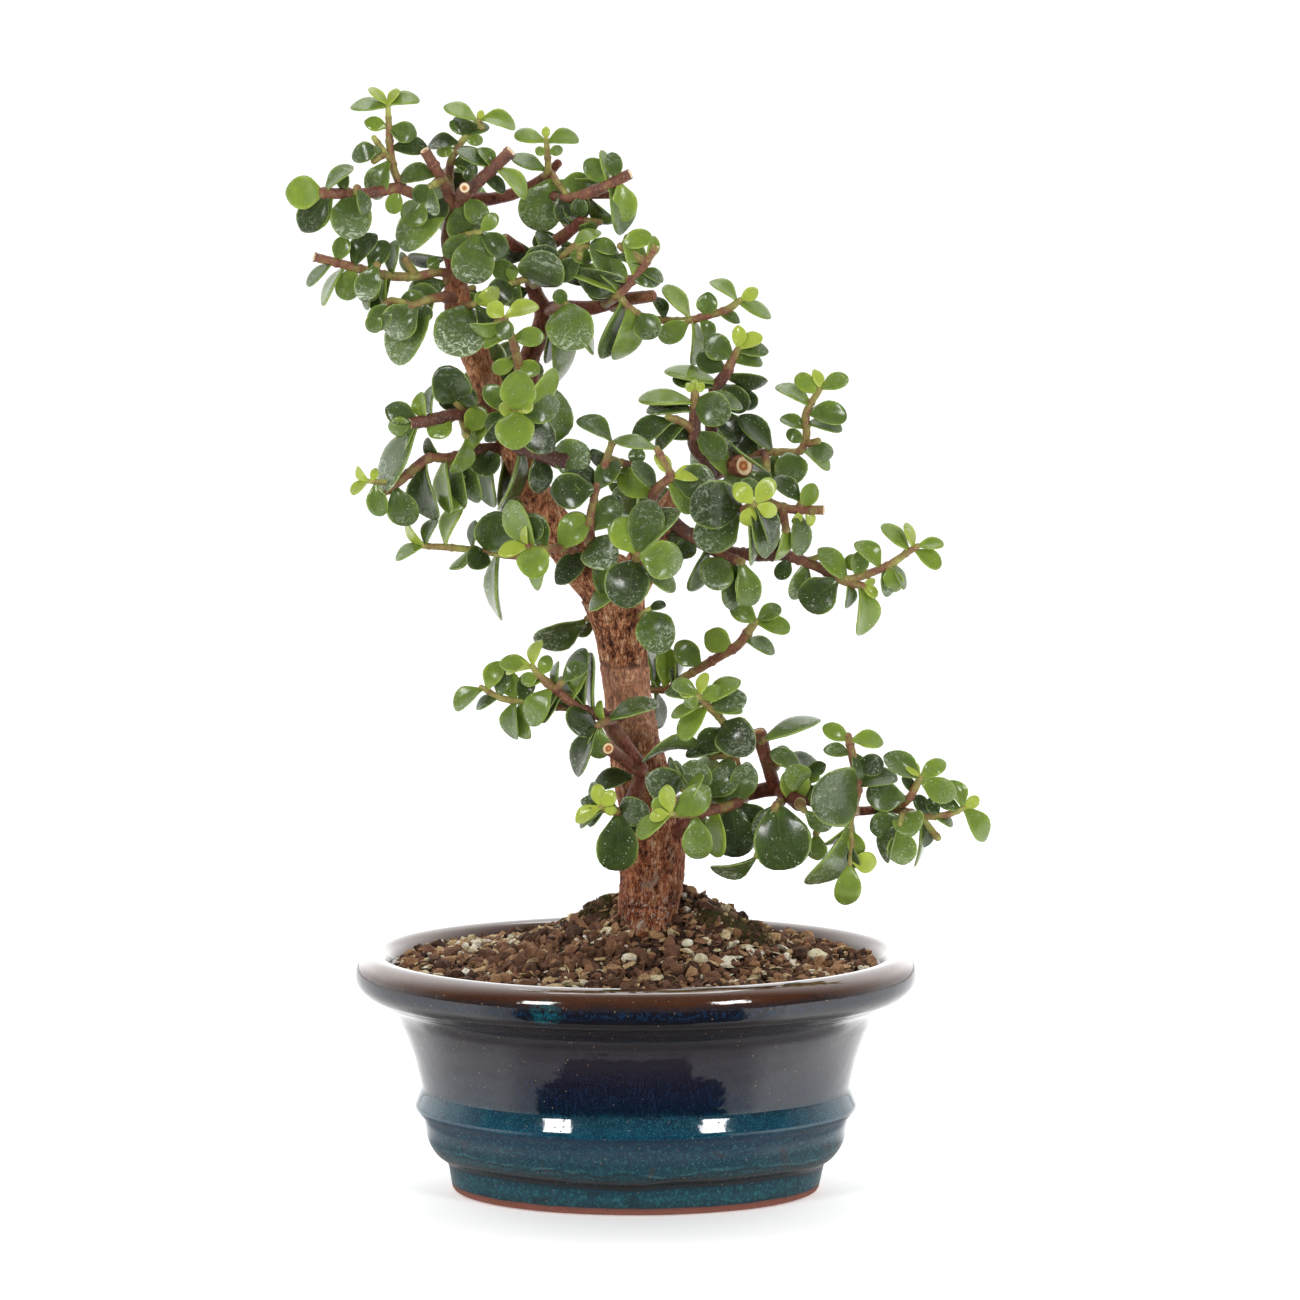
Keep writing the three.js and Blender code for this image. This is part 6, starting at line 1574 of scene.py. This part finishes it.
def moss_finish():
    """Moss: dark green low down, yellow green at the tips, with brown bits."""
    p = Paint("moss", Specular_IOR_Level=0.2)
    tone = p.mark("tone")
    fine = p.cloud(0.8, 3)
    base = p.ramp(tone * 0.6 + fine * 0.5, (0.2, "1d180e"), (0.45, "38351a"), (0.7, "545526"),
                  (0.95, "8a8650"))
    base = p.over(base, (p.cloud(3, 3).between(0.44, 0.58) * 0.8, "54402e"))
    return p.done(base, 0.9 + fine * 0.05, fine, 0.5, 0.3)


def pumice_finish():
    """Pumice: cream with yellow and near white clouds and dark pores."""
    p = Paint("pumice", Specular_IOR_Level=0.25)
    fine = p.cloud(0.5, 4)
    pores = p.dots(0.8)
    base = p.ramp(p.cloud(3, 2), (0.3, "b9ac86"), (0.5, "d6ceb2"), (0.7, "e6e2d2"))
    base = p.over(base, (pores.between(0.3, 0.15) * 0.55, "8c7c60"))
    return p.done(base, 0.85 + fine * 0.1, fine - pores.between(0.3, 0.12), 0.8, 0.35)


def screen_finish():
    """Dark plastic mesh, lightly scuffed and dusty."""
    p = Paint("screen")
    fine = p.cloud(1.2, 3)
    base = p.ramp(fine, (0.35, "15180f"), (0.6, "23291c"), (0.75, "4a4436"))
    return p.done(base, 0.5 + fine * 0.3, fine, 0.3, 0.2)


# Making the plant


def make_foliage():
    """Leaves and stems of every shoot."""
    share_extra_leaves()
    leaf, stem = leaf_finish(), stem_finish()
    for seed, (node, shoot) in enumerate(SHOOTS.items()):
        leaves_of(shoot, 100 + seed).piece(node.replace("shoot", "leaves"), leaf, "foliage", [node])
        stems_of(shoot).piece(node.replace("shoot", "stems"), stem, "foliage", [node])


# The limbs, by their place in the list, that end in a cut, and the heights of the trunk's ring cracks
CUT_LIMBS = {0, 4, 8, 9, 11}
BARK_RINGS = (188.6, 104.5)


def make_wood():
    """The trunk and its limbs."""
    bark = bark_finish()
    trunk, limbs = Surface(), Surface()
    points, triangles, mark = bark_skin(TRUNK, 144, 0.55, 40, rings=BARK_RINGS)
    trunk.add(points, triangles, wood=mark)
    for i, stops in enumerate(LIMBS):
        points, triangles, mark = bark_skin(stops, 36, 0.6, 60 + 10 * i, 0.45, i in CUT_LIMBS)
        limbs.add(points, triangles, wood=mark)
    trunk.piece("trunk_bark", bark, "bark", ["trunk"])
    limbs.piece("limb_bark", bark, "bark", ["trunk"])


def make_pot():
    """The pot's wall and floor, and the screens over its drain holes."""
    pot_wall().piece("pot_wall", glaze_finish(), "glaze", ["pot"])
    pot_floor().piece("pot_floor", clay_finish(), "glaze", ["pot"], flat=True)
    mesh_plastic = screen_finish()
    for node in ("drain_screen_left", "drain_screen_right"):
        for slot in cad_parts[node].material_slots:
            slot.material = mesh_plastic


# Middles of the two cushions of moss, and the loose pumice: (u, v, shown width, turn)
MOSS_RIGHT = (37, 4)
MOSS_LEFT = (-14, 10)
STONES = [(630, 962, 15, 0.4), (687, 946, 13, 1.1), (701, 964, 17, 2.3), (817, 960, 19, 2.8)]

# What is strewn over the soil: count, seed, least size, further size, tones, and then the patch it lies
# in, its flatness and its tilt where these differ
STREWN = {
    "grains": (4700, 31, 0.4, 1.9, (0.0, 0.58)),
    "pale_grains": (700, 33, 0.5, 1.7, (0.6, 1.0)),
    "clods": (380, 37, 1.4, 2.8, (0.0, 0.62)),
    "chips": (900, 71, 1.1, 2.8, (0.25, 1.0), None, 0.28, 0.14),
    "left_clods": (170, 73, 1.7, 2.2, (0.1, 0.45), ((-30, -4), 27, 22, 1.0)),
    "back_grains": (420, 75, 0.8, 1.8, (0.55, 1.0), ((-50, 26), 32, 20, 0.5)),
    "moss_crumbs_right": (60, 77, 0.5, 1.5, (0.1, 0.8), (MOSS_RIGHT, 15, 8, 2.4)),
    "moss_crumbs_left": (25, 79, 0.5, 1.5, (0.1, 0.8), (MOSS_LEFT, 7.5, 5.5, 2.0)),
}


def make_ground():
    """The soil with its grains and rootlets, the moss and the loose pumice."""
    soil_body().piece("soil_earth", earth_finish(), "soil", ["soil"])
    grain = grain_finish()
    for name, choice in STREWN.items():
        soil_grains(*choice).piece("soil_" + name, grain, "soil", ["soil"], flat=True)
    rootlets(110, 35).piece("soil_rootlets", grain, "soil", ["soil"])
    moss = moss_finish()
    moss_pad(MOSS_RIGHT, 16, 9, 2.8, 41).piece("moss_right_blades", moss, "moss", ["moss_right"])
    moss_pad(MOSS_LEFT, 8, 6, 3.6, 43).piece("moss_left_blades", moss, "moss", ["moss_left"])
    pumice = pumice_finish()
    for i, stone in enumerate(STONES, 1):
        pumice_stone(*stone, 50 + i).piece(f"pumice_stone_{i}", pumice, "pumice", [f"pumice_grain_{i}"])


make_foliage()
make_wood()
make_pot()
make_ground()


# Floor, light and camera

WHITE = (1, 1, 1, 1)
FLOOR_RADIUS = 30
FLOOR_DROP = 0.0003
FLOOR_GLOW = 0.3
# SHEET_RISE and SHEET_GLOW place and light the glowing sheet that paints the table's reflection in the glaze
SHEET_RISE = 0.0002
SHEET_GLOW = 2.0
BACK_STRIP = 1.15
CAMERA_WHITE = 1.2

# Soft boxes: middle, target, width and height in metres, and radiance
SOFT_BOXES = {
    "soft_box_left": ((-0.84, -1.24, 0.88), (0, 0, 0.15), 0.32, 0.4, 24),
    "soft_box_right": ((0.84, -1.24, 0.88), (0, 0, 0.15), 0.32, 0.4, 24),
    "soft_box_top": ((0, 0.3, 1.6), (0, 0, 0.2), 0.9, 0.7, 2.5),
}


def painted_reflection_finish():
    """A sheet that glows though it is no lamp, seen only in gloss: the painted reflection of the table in
    the glaze, with painted shadow close round the pot and painted shade in front of it, white to the sides,
    and in the middle of the front a painted dark patch, narrow close to the pot and wide behind."""
    p = Paint("table_glow", Base_Color=(0, 0, 0, 1), Specular_IOR_Level=0.0, Emission_Strength=SHEET_GLOW)
    beside = p.along("X")
    deep = p.along("Y") * -1
    oval = p.node("ShaderNodeVectorMath", {"operation": "LENGTH"}, {0: p.place((78, 58, 1))}, "Value")
    lean = beside / (deep.size() + 0.01)
    front = deep.between(40, 70)
    # Dim close round the pot and bright further out: painted shadow of the pot on the table
    level = oval.between(1.3, 1.95) * 1.35 + 0.35
    # Dimmer in front of the pot: painted shade
    dim = lean.size().between(1.5, 0.85) * front
    level = level * (1 - dim * 0.5) * (1 + beside.between(40, 140) * 0.5)
    # A dark patch in the middle of the front: a painted dark reflection in the glaze
    ragged = (p.cloud(13, 2) - 0.5) * 0.14
    wider = oval.between(1.76, 1.88)
    patch = (ragged - lean).between(wider * 0.27 + 0.57, wider * 0.27 + 0.53)
    patch = patch * (ragged + lean).between(wider * 0.35 + 0.39, wider * 0.35 + 0.35)
    patch = patch * (oval + ragged * 0.4).between(1.6, 1.63)
    level = level * (1 - patch * front)
    p.feed("Emission Color", p.ramp(level * 0.5, (0, "000000"), (1, "ffffff")))
    return p.material


def make_plate(name, corners, material):
    """A flat stage piece."""
    mesh = bpy.data.meshes.new(name)
    mesh.from_pydata(corners, [], [range(len(corners))])
    mesh.materials.append(material)
    plate = put_in_scene(name, mesh)
    return plate


def make_stage():
    """A wide white floor just under the pot, which also glows a little, and above it a glowing sheet that
    only gloss sees, which paints the table's reflection, with its painted shade, in the glaze."""
    turn = turns(64)
    edge = np.column_stack([FLOOR_RADIUS * np.cos(turn), FLOOR_RADIUS * np.sin(turn), 0 * turn - FLOOR_DROP])
    paper = Paint("floor", Base_Color=colour("f4f4f4"), Roughness=0.9, Specular_IOR_Level=0.0,
                  Emission_Color=WHITE, Emission_Strength=FLOOR_GLOW)
    make_plate("floor", edge, paper.material)
    # A glowing sheet, no lamp, seen only in reflections: a painted reflection of the table
    corners = [(x, y, SHEET_RISE) for x, y in ((-9, -9), (9, -9), (9, 1), (-9, 1))]
    sheet = make_plate("table_glow", corners, painted_reflection_finish())
    sheet.visible_camera = sheet.visible_diffuse = sheet.visible_shadow = sheet.visible_transmission = False


def make_room():
    """A room with a bright backdrop, a little brighter low down, and a dim front: its radiance rises with
    the direction's y. The camera itself sees plain white."""
    world = bpy.data.worlds.new("room")
    bpy.context.scene.world = world
    room = Tree(world)

    def graded(axis, low, high, at_low, at_high):
        """A number that goes from at_low to at_high as the direction's part along an axis rises."""
        way = room.node("ShaderNodeTexCoord", {}, {}, "Generated")
        part = room.node("ShaderNodeSeparateXYZ", {}, {0: way}, axis)
        return room.node("ShaderNodeMapRange", {}, {
            "Value": part, "From Min": low, "From Max": high, "To Min": at_low, "To Max": at_high})

    sky = room.nodes["Background"]
    sky.inputs["Color"].default_value = WHITE
    radiance = graded("Y", -0.35, 0.45, 0.15, 1.75) * graded("Z", 0.32, 0.42, BACK_STRIP, 1.0)
    room.links.new(radiance.socket, sky.inputs["Strength"])
    plain = room.node("ShaderNodeBackground", {}, {"Color": WHITE, "Strength": CAMERA_WHITE})
    by_camera = room.node("ShaderNodeLightPath", {}, {}, "Is Camera Ray")
    shown = room.node("ShaderNodeMixShader", {}, {0: by_camera, 1: Value(room, sky.outputs[0]), 2: plain})
    room.links.new(shown.socket, room.nodes["World Output"].inputs["Surface"])


def make_light(name, place, target, width, height, radiance):
    """A soft box with its middle at place, facing target."""
    lamp = bpy.data.lights.new(name, "AREA")
    lamp.shape = "RECTANGLE"
    lamp.size, lamp.size_y = width, height
    lamp.energy = radiance * width * height * math.pi
    box = put_in_scene(name, lamp)
    box.location = place
    aim = np.subtract(target, place)
    heading = math.atan2(aim[1], aim[0])
    box.rotation_euler = (math.acos(-aim[2] / np.linalg.norm(aim)), 0, heading - math.pi / 2)


def make_camera():
    """The camera at the eye of the front view."""
    lens = bpy.data.cameras.new("camera")
    lens.sensor_width = 36
    lens.lens = lens.sensor_width * VIEW_REACH / VIEW_SIZE
    camera = put_in_scene("camera", lens)
    camera.location = (VIEW_SHIFT * METRES, -VIEW_DISTANCE * METRES, VIEW_HEIGHT * METRES)
    camera.rotation_euler = (math.pi / 2 - VIEW_PITCH, 0, 0)
    bpy.context.scene.camera = camera


make_stage()
make_room()
for name, choice in SOFT_BOXES.items():
    make_light(name, *choice)
make_camera()
bpy.context.scene.view_settings.view_transform = "Standard"
